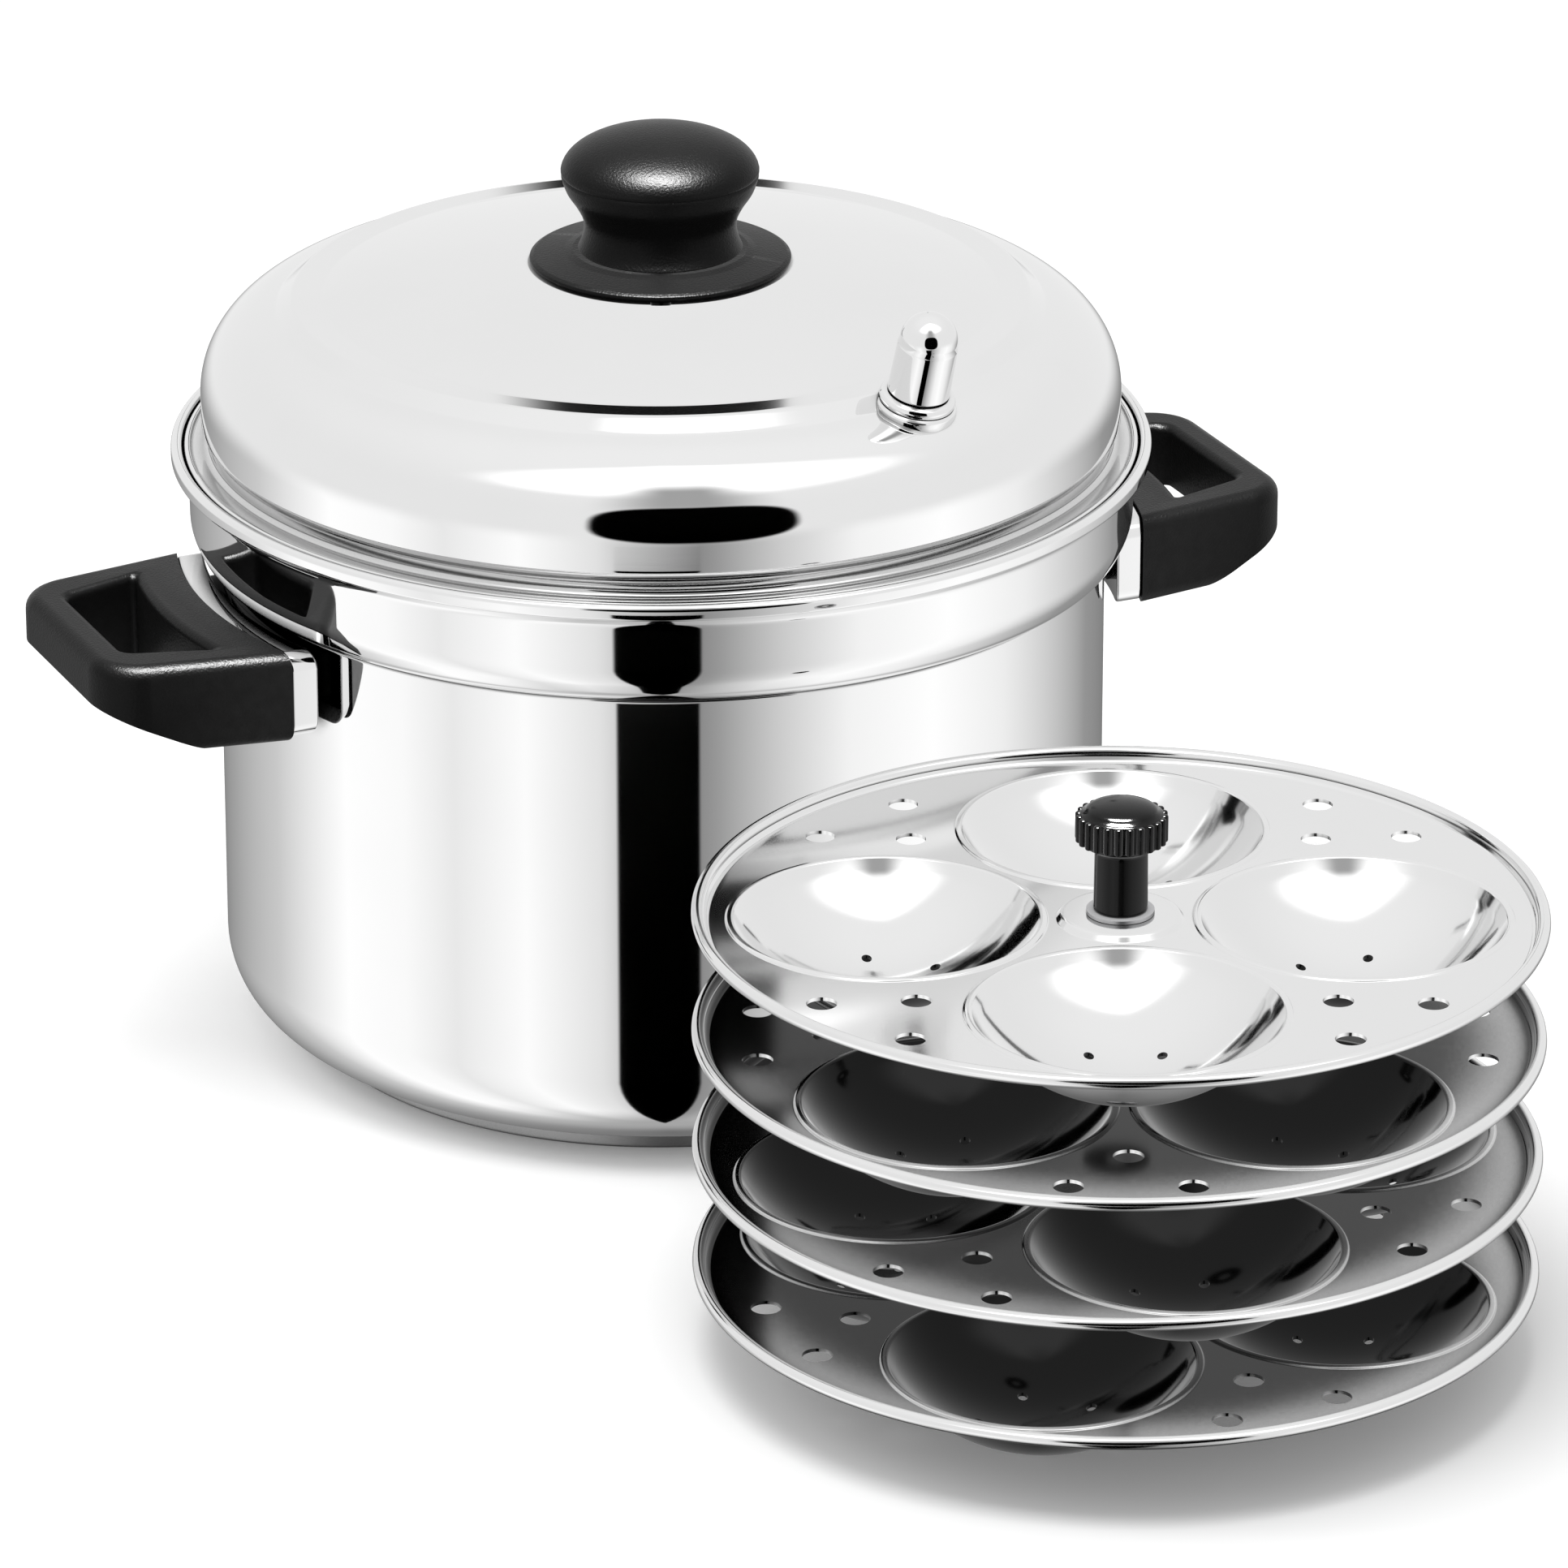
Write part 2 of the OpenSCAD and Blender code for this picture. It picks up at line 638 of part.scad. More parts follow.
module nut_insert() {
    color("goldenrod") at_rack() translate([0, 0, nut_z + run])
        tube(nut_insert_r, rod_r + touch, nut_insert_h);
}

pot_shell();
base_core();
base_cap();
at_side(0) bracket();  // right_bracket
at_side(0) guard();  // right_guard
at_side(0) grip();  // right_grip
at_side(0) hand_screw();  // right_screw
at_side(180) bracket();  // left_bracket
at_side(180) guard();  // left_guard
at_side(180) grip();  // left_grip
at_side(180) hand_screw();  // left_screw
lid_shell();
knob_flange();
lid_knob();
knob_insert();
knob_washer();
knob_screw();
vent_pipe();
vent_gasket();
vent_nut();
vent_cap();
rack_rod();
foot_nut();
plate_1();
plate_2();
plate_3();
plate_4();
spacer_1();
spacer_2();
spacer_3();
rack_washer();
thumb_nut();
nut_insert();
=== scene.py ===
# %% [markdown]
# # A steamer pot and its rack of plates
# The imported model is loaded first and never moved. Everything below gives it its looks: smooth polished
# steel, moulded black plastic, a studio to reflect, and the camera. Each step says what the piece is,
# how it could be made, and why this way was chosen.

# %% Load the frame
import json
import math

import bpy
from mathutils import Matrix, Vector

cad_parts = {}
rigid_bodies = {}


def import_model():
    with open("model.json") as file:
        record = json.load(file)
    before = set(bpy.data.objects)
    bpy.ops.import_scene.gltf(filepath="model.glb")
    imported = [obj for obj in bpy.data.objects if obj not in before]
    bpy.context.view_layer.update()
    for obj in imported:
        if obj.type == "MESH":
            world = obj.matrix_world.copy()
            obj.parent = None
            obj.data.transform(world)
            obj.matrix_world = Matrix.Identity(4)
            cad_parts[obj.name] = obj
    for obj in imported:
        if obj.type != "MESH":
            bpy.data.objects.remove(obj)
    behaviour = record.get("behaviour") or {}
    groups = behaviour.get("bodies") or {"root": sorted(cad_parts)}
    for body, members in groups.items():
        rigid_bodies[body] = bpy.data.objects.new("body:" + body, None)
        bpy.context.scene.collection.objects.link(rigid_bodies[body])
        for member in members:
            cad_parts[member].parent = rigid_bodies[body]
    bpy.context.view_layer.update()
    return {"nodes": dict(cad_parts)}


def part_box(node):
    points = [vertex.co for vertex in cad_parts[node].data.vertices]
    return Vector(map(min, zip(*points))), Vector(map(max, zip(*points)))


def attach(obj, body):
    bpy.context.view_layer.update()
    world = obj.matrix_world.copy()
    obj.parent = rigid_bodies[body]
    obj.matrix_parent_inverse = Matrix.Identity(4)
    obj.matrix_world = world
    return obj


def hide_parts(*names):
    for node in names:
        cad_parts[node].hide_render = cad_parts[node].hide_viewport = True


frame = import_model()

# %% [markdown]
# ## Units and small helpers
# Drawings of cookware are in millimetres and Blender works in metres, so sizes are written in
# millimetres and scaled once, where a mesh is made. Every operator acts on what is selected, and the
# loaded CAD nodes start out selected, so each piece begins by clearing the selection. Overall sizes are
# measured on the CAD nodes, so that the looks keep to the construction.

# %% Selection and finishing helpers
MM = 0.001


def clear_selection():
    if bpy.context.mode != "OBJECT":
        bpy.ops.object.mode_set(mode="OBJECT")
    bpy.ops.object.select_all(action="DESELECT")


def pick(*pieces):
    """Selects these pieces and makes the first one active."""
    clear_selection()
    for piece in pieces:
        piece.select_set(True)
    bpy.context.view_layer.objects.active = pieces[0]


def open_mesh(piece, kind, action="SELECT"):
    """Opens a piece in edit mode for one kind of element, with all or nothing selected."""
    pick(piece)
    bpy.ops.object.mode_set(mode="EDIT")
    bpy.ops.mesh.select_mode(type=kind)
    bpy.ops.mesh.select_all(action=action)


def face_out():
    """Points all faces of the open mesh outwards, and leaves edit mode."""
    bpy.ops.mesh.select_all(action="SELECT")
    bpy.ops.mesh.normals_make_consistent(inside=False)
    bpy.ops.object.mode_set(mode="OBJECT")


def joined(*pieces):
    """Makes one piece of several, under the name of the first."""
    pick(*pieces)
    bpy.ops.object.join()
    return pieces[0]


def placed(piece, where=(0, 0, 0), tilt=0.0, turn=0.0):
    """Tilts a piece about Y, turns it about Z and moves it by millimetres, all of it in its mesh."""
    piece.rotation_euler = (0, math.radians(tilt), math.radians(turn))
    piece.location = [x * MM for x in where]
    pick(piece)
    bpy.ops.object.transform_apply(location=True, rotation=True, scale=True)
    return piece


def smooth(piece, angle=35):
    """Smooths the shading across edges flatter than the given angle."""
    pick(piece)
    bpy.ops.object.shade_smooth_by_angle(angle=math.radians(angle))
    return piece


def finish_piece(piece, material, body, nodes=(), mirrored=True):
    """Paints a piece, lets it ride on its body, and hides the CAD nodes that it stands for."""
    piece.data.materials.clear()
    piece.data.materials.append(material)
    piece.visible_glossy = mirrored
    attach(piece, body)
    if nodes:
        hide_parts(*nodes)
    triangles = sum(len(face.vertices) - 2 for face in piece.data.polygons)
    print(f"{piece.name}: {triangles} triangles on body {body}")


def measured(node):
    """The radius, lowest and highest point of a CAD node, in millimetres."""
    low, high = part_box(node)
    return (high.x - low.x) / 2 / MM, low.z / MM, high.z / MM


# %% [markdown]
# ## Outlines
# A turned piece is drawn as half of its section: points of radius and height. Real sheet metal has no
# sharp corners, so each point can carry the radius of the bend there, and the arc is worked out.

# %% Outline helpers
BEND_STEP = 7.0


def arc(centre_r, centre_z, radius, start, end, count):
    """Points on a circle, with the angles in degrees from the +r direction."""
    angles = [math.radians(start + (end - start) * i / count) for i in range(count + 1)]
    return [(centre_r + radius * math.cos(a), centre_z + radius * math.sin(a)) for a in angles]


def bent(points, step=BEND_STEP):
    """Turns (r, z) or (r, z, bend radius) points into an outline with round bends."""
    out = []
    for i, point in enumerate(points):
        r, z = point[:2]
        bend = point[2] if len(point) > 2 else 0
        if not bend or i in (0, len(points) - 1):
            out.append((r, z))
            continue
        before = (points[i - 1][0] - r, points[i - 1][1] - z)
        after = (points[i + 1][0] - r, points[i + 1][1] - z)
        la, lb = math.hypot(*before), math.hypot(*after)
        ua, ub = (before[0] / la, before[1] / la), (after[0] / lb, after[1] / lb)
        half = math.acos(max(-1, min(1, ua[0] * ub[0] + ua[1] * ub[1]))) / 2
        reach = min(bend / math.tan(half), la * 0.49, lb * 0.49)
        bend = reach * math.tan(half)
        middle = (ua[0] + ub[0], ua[1] + ub[1])
        lm = math.hypot(*middle)
        centre = (r + middle[0] / lm * bend / math.sin(half), z + middle[1] / lm * bend / math.sin(half))
        start = (r + ua[0] * reach - centre[0], z + ua[1] * reach - centre[1])
        end = (r + ub[0] * reach - centre[0], z + ub[1] * reach - centre[1])
        a0 = math.atan2(start[1], start[0])
        turn = (math.atan2(end[1], end[0]) - a0 + math.pi) % math.tau - math.pi
        count = max(2, math.ceil(abs(math.degrees(turn)) / step))
        radius = math.hypot(*start)
        out += [(centre[0] + radius * math.cos(a0 + turn * k / count),
                 centre[1] + radius * math.sin(a0 + turn * k / count)) for k in range(count + 1)]
    return out


def flowing(points, count=6):
    """A smooth curve through the points, for shapes that have no straight parts."""
    out = []
    padded = [points[0], *points, points[-1]]
    for p0, p1, p2, p3 in zip(padded, padded[1:], padded[2:], padded[3:]):
        for k in range(count):
            t = k / count
            out.append(tuple(0.5 * (2 * b + (c - a) * t + (2 * a - 5 * b + 4 * c - d) * t * t
                                    + (3 * b - a - 3 * c + d) * t ** 3)
                             for a, b, c, d in zip(p0, p1, p2, p3)))
    return out + [points[-1]]


# %% [markdown]
# ## Turning on the lathe
# The pot, lid, knob, cups, rims, tubes and nut are all round. They could be screwed with a modifier,
# but the Spin operator does the same in edit mode with nothing left to apply: one vertex is extruded
# along the outline, and the wire is spun once round Z. Doubles at the seam and on the axis are merged
# and the normals recalculated, because a spin can come out inside out.

# %% The lathe
ROUND = 224
TOO_NEAR = 1e-4
MERGE = 0.002


def held(outline, least, hold=0.4):
    """Adds a ring near both ends of each long straight, so that shading stays straight up to the bends."""
    out = [outline[0]]
    for (r0, z0), (r1, z1) in zip(outline, outline[1:]):
        length = math.hypot(r1 - r0, z1 - z0)
        if length > least:
            part = hold / length
            out += [(r0 + (r1 - r0) * t, z0 + (z1 - z0) * t) for t in (part, 1 - part)]
        out.append((r1, z1))
    return out


def wire(name, points):
    """Draws a line through points in millimetres, and leaves it open in edit mode, all selected."""
    clear_selection()
    bpy.ops.mesh.primitive_plane_add(size=MM)
    piece = bpy.context.object
    piece.name = name
    bpy.ops.object.mode_set(mode="EDIT")
    bpy.ops.mesh.select_mode(type="VERT")
    bpy.ops.mesh.select_all(action="SELECT")
    bpy.ops.mesh.merge(type="CENTER")
    bpy.ops.transform.translate(value=[c * MM for c in points[0]])
    for here, there in zip(points, points[1:]):
        step = tuple((b - a) * MM for a, b in zip(here, there))
        bpy.ops.mesh.extrude_region_move(TRANSFORM_OT_translate={"value": step})
    bpy.ops.mesh.select_all(action="SELECT")
    return piece


def turned(name, outline, steps=ROUND, least=8.0):
    """Spins an outline once round Z. Straights longer than least are held near their ends."""
    points = [(r, 0, z) for r, z in held(outline, least)]
    points[1:] = [b for a, b in zip(points, points[1:]) if math.dist(a, b) >= TOO_NEAR]
    piece = wire(name, points)
    bpy.ops.mesh.spin(steps=steps, angle=math.tau, center=(0, 0, 0), axis=(0, 0, 1))
    bpy.ops.mesh.select_all(action="SELECT")
    bpy.ops.mesh.remove_doubles(threshold=MERGE * MM)
    face_out()
    return piece


# %% [markdown]
# ## The camera
# The photograph looks down at the pot from its left front, from far away, so the view is nearly
# parallel. The camera stands on the line that the rims' ellipses and the handles' places give.

# %% Camera
CAMERA_PLACE = (-802.0, -1872.5, 888.2)
CAMERA_DOWN = 22.2
CAMERA_TURN = -24.0
CAMERA_LENS = 210.6

camera_data = bpy.data.cameras.new("Camera")
camera_data.lens = CAMERA_LENS
camera_data.sensor_width = 36
camera_data.clip_start = 0.05
camera_data.clip_end = 50
camera = bpy.data.objects.new("Camera", camera_data)
bpy.context.scene.collection.objects.link(camera)
camera.location = [x * MM for x in CAMERA_PLACE]
camera.rotation_euler = (math.radians(90 - CAMERA_DOWN), 0, math.radians(CAMERA_TURN))
bpy.context.scene.camera = camera
print("camera looks down", CAMERA_DOWN, "degrees")

# %% [markdown]
# ## Surface effects that several materials share
# Polished sheet is never a perfect mirror: it has faint cloudy patches from the buffing wheel, and
# hair-thin lines. Moulded plastic has a fine spark-eroded grain. Edges that hands and dishes touch go
# smoother and lighter. Each effect is one node group with its own sockets, placed where it is needed.

# %% Node group helpers


def new_group(name, inputs, outputs):
    group = bpy.data.node_groups.new(name, "ShaderNodeTree")
    for label, value in inputs:
        socket = group.interface.new_socket(label, in_out="INPUT", socket_type="NodeSocketFloat")
        socket.default_value = value
    for label in outputs:
        group.interface.new_socket(label, in_out="OUTPUT", socket_type="NodeSocketFloat")
    return group, group.nodes.new("NodeGroupInput"), group.nodes.new("NodeGroupOutput")


def feed(tree, socket, value):
    """Links a socket to another one, or sets it to a number."""
    if isinstance(value, bpy.types.NodeSocket):
        tree.links.new(value, socket)
    else:
        socket.default_value = value


def maths(tree, operation, *values, clamp=False):
    """A Math node whose inputs are numbers or sockets. Returns its output."""
    node = tree.nodes.new("ShaderNodeMath")
    node.operation = operation
    node.use_clamp = clamp
    for socket, value in zip(node.inputs, values):
        feed(tree, socket, value)
    return node.outputs[0]


def noise(tree, scale, detail=2.0, stretch=None):
    """A noise texture on object coordinates, stretched along an axis if asked."""
    place = tree.nodes.new("ShaderNodeTexCoord").outputs["Object"]
    if stretch:
        mapping = tree.nodes.new("ShaderNodeMapping")
        mapping.inputs["Scale"].default_value = stretch
        tree.links.new(place, mapping.inputs["Vector"])
        place = mapping.outputs["Vector"]
    node = tree.nodes.new("ShaderNodeTexNoise")
    node.inputs["Detail"].default_value = detail
    feed(tree, node.inputs["Scale"], scale)
    tree.links.new(place, node.inputs["Vector"])
    return node.outputs["Fac"]


# %% The effects


def make_polish():
    """Cloudy buffing marks and fine turning lines on polished sheet."""
    group, given, out = new_group("Polish", [("Roughness", 0.05), ("Clouding", 0.02)],
                                  ["Roughness", "Height", "Tone"])
    cloud = noise(group, 26.0, 4.0)
    lines = noise(group, 60.0, 3.0, stretch=(1.0, 1.0, 14.0))
    rough = maths(group, "MULTIPLY_ADD", maths(group, "SUBTRACT", cloud, 0.5), given.outputs["Clouding"],
                  given.outputs["Roughness"])
    group.links.new(maths(group, "MAXIMUM", rough, 0.015), out.inputs["Roughness"])
    group.links.new(lines, out.inputs["Height"])
    group.links.new(maths(group, "MULTIPLY_ADD", cloud, 0.05, 0.975), out.inputs["Tone"])
    return group


def make_grain():
    """The fine grain of a spark-eroded mould, with a slow change in gloss across the piece."""
    group, given, out = new_group("Grain", [("Scale", 2600.0), ("Roughness", 0.4), ("Spread", 0.1)],
                                  ["Height", "Roughness"])
    fine = noise(group, given.outputs["Scale"], 2.0)
    coarse = noise(group, 55.0, 3.0)
    rough = maths(group, "MULTIPLY_ADD", maths(group, "SUBTRACT", coarse, 0.5), given.outputs["Spread"],
                  given.outputs["Roughness"])
    group.links.new(fine, out.inputs["Height"])
    group.links.new(rough, out.inputs["Roughness"])
    return group


def make_edge_wear():
    """A mask of outer edges, broken up by noise, from 0 on flats to 1 on worn edges."""
    group, given, out = new_group("Edge wear", [("Start", 0.52), ("End", 0.6)], ["Mask"])
    point = group.nodes.new("ShaderNodeNewGeometry").outputs["Pointiness"]
    span = group.nodes.new("ShaderNodeMapRange")
    group.links.new(point, span.inputs["Value"])
    group.links.new(given.outputs["Start"], span.inputs["From Min"])
    group.links.new(given.outputs["End"], span.inputs["From Max"])
    broken = maths(group, "MULTIPLY_ADD", noise(group, 320.0, 3.0), 0.9, 0.35, clamp=True)
    group.links.new(maths(group, "MULTIPLY", span.outputs["Result"], broken), out.inputs["Mask"])
    return group


EFFECTS = {"polish": make_polish(), "grain": make_grain(), "wear": make_edge_wear()}
print("effects:", ", ".join(EFFECTS))

# %% [markdown]
# ## Materials
# Each material is one Principled shader. What is the same all over is set on its own sockets, and the
# groups feed only what changes across the surface: colour, roughness and a small bump. Sheet that other
# sheet closes in has little but darkness to mirror, so the metals get painted shade for it: an Ambient
# Occlusion node darkens their base colour there, most of all between the plates of the rack.

# %% Material helpers


def start_material(name, colour, roughness, metallic=0.0, **sockets):
    material = bpy.data.materials.new(name)
    material.use_nodes = True
    shader = material.node_tree.nodes["Principled BSDF"]
    shader.inputs["Base Color"].default_value = (*colour, 1)
    shader.inputs["Roughness"].default_value = roughness
    shader.inputs["Metallic"].default_value = metallic
    for label, value in sockets.items():
        shader.inputs[label.replace("_", " ")].default_value = value
    return material, shader


def place_effect(material, effect, **values):
    node = material.node_tree.nodes.new("ShaderNodeGroup")
    node.node_tree = EFFECTS[effect]
    for label, value in values.items():
        node.inputs[label].default_value = value
    return node


def add_bump(material, shader, height, distance):
    bump = material.node_tree.nodes.new("ShaderNodeBump")
    bump.inputs["Distance"].default_value = distance
    material.node_tree.links.new(height, bump.inputs["Height"])
    material.node_tree.links.new(bump.outputs["Normal"], shader.inputs["Normal"])


def tint(material, shader, factor, plain, changed):
    """Base colour that goes from plain to changed with a factor that varies over the surface."""
    mix = material.node_tree.nodes.new("ShaderNodeMix")
    mix.data_type = "RGBA"
    mix.inputs["A"].default_value = (*plain, 1)
    mix.inputs["B"].default_value = (*changed, 1)
    material.node_tree.links.new(factor, mix.inputs["Factor"])
    material.node_tree.links.new(mix.outputs["Result"], shader.inputs["Base Color"])


# %% Metals
# The near-black colour of the painted shade in closed-in places.
PAINTED_SHADE = (0.014, 0.014, 0.014)


def metal(name, light, roughness, clouding, line_height, reach=8, shut=0.25, free=0.72, samples=12):
    """Polished sheet with painted shade: its colour is dark where the open part of what is round it, within
    reach in mm, is down to shut.
    """
    material, shader = start_material(name, light, roughness, metallic=1.0)
    tree = material.node_tree
    polish = place_effect(material, "polish", Roughness=roughness, Clouding=clouding)
    tree.links.new(polish.outputs["Roughness"], shader.inputs["Roughness"])
    # Painted shade: ambient occlusion darkens the base colour towards near black in gaps, creases and between
    # parts.
    open_sky = tree.nodes.new("ShaderNodeAmbientOcclusion")
    open_sky.samples = samples
    open_sky.inputs["Distance"].default_value = reach * MM
    span = tree.nodes.new("ShaderNodeMapRange")
    span.inputs["From Min"].default_value = shut
    span.inputs["From Max"].default_value = free
    tree.links.new(open_sky.outputs["AO"], span.inputs["Value"])
    shade = maths(tree, "MULTIPLY", span.outputs["Result"], polish.outputs["Tone"])
    tint(material, shader, shade, PAINTED_SHADE, light)
    add_bump(material, shader, polish.outputs["Height"], line_height)
    return material


# The plates and spacers reach 150 mm for their painted shade, so the rack's lower plates are painted dark
# between the plates.
PRESSED = metal("Pressed plate steel", (0.82, 0.82, 0.82), 0.1, 0.05, 1e-6,
                reach=150, shut=0.29, free=0.52, samples=48)
POLISHED = metal("Polished sheet steel", (0.84, 0.84, 0.84), 0.035, 0.03, 0.4e-6)
SATIN_STEEL = metal("Satin base steel", (0.62, 0.62, 0.62), 0.34, 0.1, 3e-6)
BRUSHED = metal("Plain steel", (0.56, 0.56, 0.57), 0.3, 0.15, 4e-6)
ALUMINIUM = metal("Base aluminium", (0.78, 0.78, 0.79), 0.32, 0.12, 4e-6)
BRASS = metal("Insert brass", (0.83, 0.62, 0.30), 0.22, 0.1, 3e-6)

# %% Plastics and rubber


def moulded(name, colour, worn, roughness, worn_shine, grain_height, grain_scale=2600.0, **sockets):
    material, shader = start_material(name, colour, roughness, **sockets)
    grain = place_effect(material, "grain", Roughness=roughness, Scale=grain_scale)
    wear = place_effect(material, "wear")
    rough = maths(material.node_tree, "MULTIPLY_ADD", wear.outputs["Mask"], -worn_shine,
                  grain.outputs["Roughness"], clamp=True)
    material.node_tree.links.new(rough, shader.inputs["Roughness"])
    tint(material, shader, wear.outputs["Mask"], colour, worn)
    add_bump(material, shader, grain.outputs["Height"], grain_height)
    return material


SATIN_BLACK = moulded("Satin black plastic", (0.004, 0.004, 0.004), (0.02, 0.02, 0.02), 0.34, 0.08, 1e-4,
                      grain_scale=1900.0, Specular_IOR_Level=0.07)
GLOSSY_BLACK = moulded("Glossy black plastic", (0.002, 0.002, 0.002), (0.006, 0.006, 0.006), 0.12, 0.03, 4e-6,
                       Specular_IOR_Level=0.2)
SILICONE = moulded("Grey silicone", (0.20, 0.20, 0.20), (0.26, 0.26, 0.26), 0.6, 0.05, 2e-5)
print("materials:", ", ".join(m.name for m in bpy.data.materials))

# %% [markdown]
# ## The pot
# The shell is drawn from one sheet: a straight wall, a crease where the neck begins, and a rolled rim.
# It could be made with a cylinder and loop cuts, but reflections show every flaw in a polished wall,
# so it is turned from an outline whose bends are true arcs. It stands on a sandwich base: a thin cap
# over an aluminium disc, whose edge shows as a fine line.

# %% Pot sizes from the frame
RIM_R, POT_FLOOR, POT_TOP = measured("pot_shell")
RIM_WIDE = 2.6
POT_R = 104.99
SHEET = 1.0
CREASE = POT_TOP - 27.0
print(f"pot: rim radius {RIM_R:.1f}, top {POT_TOP:.1f}, floor {POT_FLOOR:.1f} mm")

# %% Pot shell
NECK_R = POT_R + 6.5
FLOOR_BEND = 20
LEDGE = POT_TOP - 3.0
pot_outside = [
    (0, POT_FLOOR), (POT_R, POT_FLOOR, FLOOR_BEND), (POT_R, CREASE, 0.9), (POT_R - 0.55, CREASE + 0.45, 0.25),
    (POT_R + 3.9, CREASE + 2.2, 5), (NECK_R, CREASE + 7.5, 9), (NECK_R + 0.2, LEDGE - 3.2, 2.5),
    (NECK_R + 1.6, LEDGE - 0.8, 1.2), (RIM_R, LEDGE - 0.6, 0.9), (RIM_R, POT_TOP, 1.3),
    (RIM_R - RIM_WIDE, POT_TOP, 1.25), (RIM_R - RIM_WIDE - 0.3, LEDGE, 0.7)]
pot_inside = [
    (NECK_R - 0.4, LEDGE, 1.6), (NECK_R - 0.9, LEDGE - 3.4, 2.5), (NECK_R - 1, CREASE + 7.8, 8),
    (POT_R + 2.9, CREASE + 3.0, 5), (POT_R - SHEET, CREASE + 0.9, 1),
    (POT_R - SHEET, POT_FLOOR + SHEET, FLOOR_BEND - SHEET), (0, POT_FLOOR + SHEET)]
pot = smooth(turned("pot_body", bent(pot_outside + pot_inside, 5), steps=256))
finish_piece(pot, POLISHED, "pot", ["pot_shell"])

# %% Base cap
CAP_R, _, CAP_TOP = measured("base_cap")
CAP_SHEET = 0.8
base_outline = [(0, 0), (CAP_R, 0, 1.2), (CAP_R, CAP_TOP, 0.3), (CAP_R - CAP_SHEET, CAP_TOP, 0.3),
                (CAP_R - CAP_SHEET, CAP_SHEET, 0.3), (0, CAP_SHEET)]
base = smooth(turned("pot_base_cap", bent(base_outline)))
finish_piece(base, SATIN_STEEL, "pot", ["base_cap"])

# %% [markdown]
# ## The lid
# The dome is a shallow part of a large sphere. A level ledge is pressed round it, which mirrors a dark
# flag of the studio as an arc. A rounded shoulder leads down to the wall, a groove, and a brim whose
# rolled edge sits in the pot's rim. All of that is one outline, so the reflections run on unbroken.

# %% Lid shell
PAD_Z = measured("lid_shell")[2]
LID_R = 108.39
LID_SHEET = 0.9
DOME_R = 361.0
PAD_R = 32.0
DOME_END = LID_R - 14.6
RING_R = 83.0
RING_LEDGE = 7.0
RING_FALL = 4.0
RING_DROP = 0.5


def dome(r):
    """Height of the dome at a radius."""
    return PAD_Z + math.sqrt(DOME_R ** 2 - r ** 2) - math.sqrt(DOME_R ** 2 - PAD_R ** 2)


def dome_points(r0, r1, lift, count):
    rs = [r0 + (r1 - r0) * i / count for i in range(count + 1)]
    return [(r, dome(r) + lift) for r in rs]


dome_slope = math.asin(DOME_END / DOME_R)
SHOULDER = (LID_R - DOME_END) / (1 - math.sin(dome_slope))
SHOULDER_Z = dome(DOME_END) - RING_DROP - SHOULDER * math.cos(dome_slope)
BEAD = 1.2
BEAD_GAP = 0.5
BEAD_UP = 0.6
BEAD_R = RIM_R - RIM_WIDE - BEAD_GAP - BEAD
BRIM_Z = LEDGE + 0.15 + 2 * BEAD - BEAD_UP
GROOVE_Z = BRIM_Z + 3.6
GROOVE_DEEP = 1.9


def lid_face(inset):
    """The lid's face from the pad outwards, or its inner face if set in by the sheet's thickness."""
    ledge_in, ledge_out = RING_R - RING_LEDGE / 2, RING_R + RING_LEDGE / 2
    ledge_z = dome(ledge_in) - inset
    fall_end = ledge_out + RING_FALL
    pad = bent([(0, PAD_Z - inset), (PAD_R, PAD_Z - inset, 12), (PAD_R + 4, dome(PAD_R + 4) - inset)])
    ring = bent([
        (ledge_in - 3, dome(ledge_in - 3) - inset), (ledge_in, ledge_z, 4), (ledge_out, ledge_z, 1.6),
        (fall_end, dome(fall_end) - RING_DROP - inset, 2.5),
        (fall_end + 1.2, dome(fall_end + 1.2) - RING_DROP - inset)], 4)
    shoulder = arc(LID_R - SHOULDER, SHOULDER_Z, SHOULDER - inset, 90 - math.degrees(dome_slope), 0, 26)
    groove_r = LID_R - GROOVE_DEEP - inset * 0.7
    wall = [(LID_R - inset, GROOVE_Z + 2.6, 0.9), (groove_r, GROOVE_Z, 1.1),
            (groove_r, BRIM_Z - inset * 0.8, 1.6)]
    return (pad + dome_points(PAD_R + 5, ledge_in - 4, -inset, 24) + ring
            + dome_points(fall_end + 1.6, DOME_END - 0.4, -RING_DROP - inset, 4) + shoulder), wall


face, wall = lid_face(0)
under, under_wall = lid_face(LID_SHEET)
bead_top, bead_foot = BRIM_Z + BEAD_UP, BRIM_Z + BEAD_UP - 2 * BEAD
edge = [(BEAD_R - 0.6, BRIM_Z, 0.6), (BEAD_R - 0.2, BRIM_Z + 0.55, 0.5), (BEAD_R + BEAD, bead_top, 1.1),
        (BEAD_R + BEAD, bead_foot, 1.15), (BEAD_R - BEAD, bead_foot, 1.0),
        (BEAD_R - BEAD - 0.2, BRIM_Z - LID_SHEET, 0.3)]
skirt = bent([face[-1], *wall, *edge, *under_wall[::-1], under[-1]], 9)
lid = smooth(turned("lid_dome", face[:-1] + skirt + under[:-1][::-1], steps=256, least=2.2))
finish_piece(lid, POLISHED, "lid", ["lid_shell"])

# %% [markdown]
# ## The knob and its flange
# Both are moulded black plastic. The knob has a waist for the fingers and a broad crown, with the fine
# line where the mould's two halves met. A smooth curve through a few points gives the waist. The
# photographed steel doesn't mirror the knob, so mirror rays don't see it.

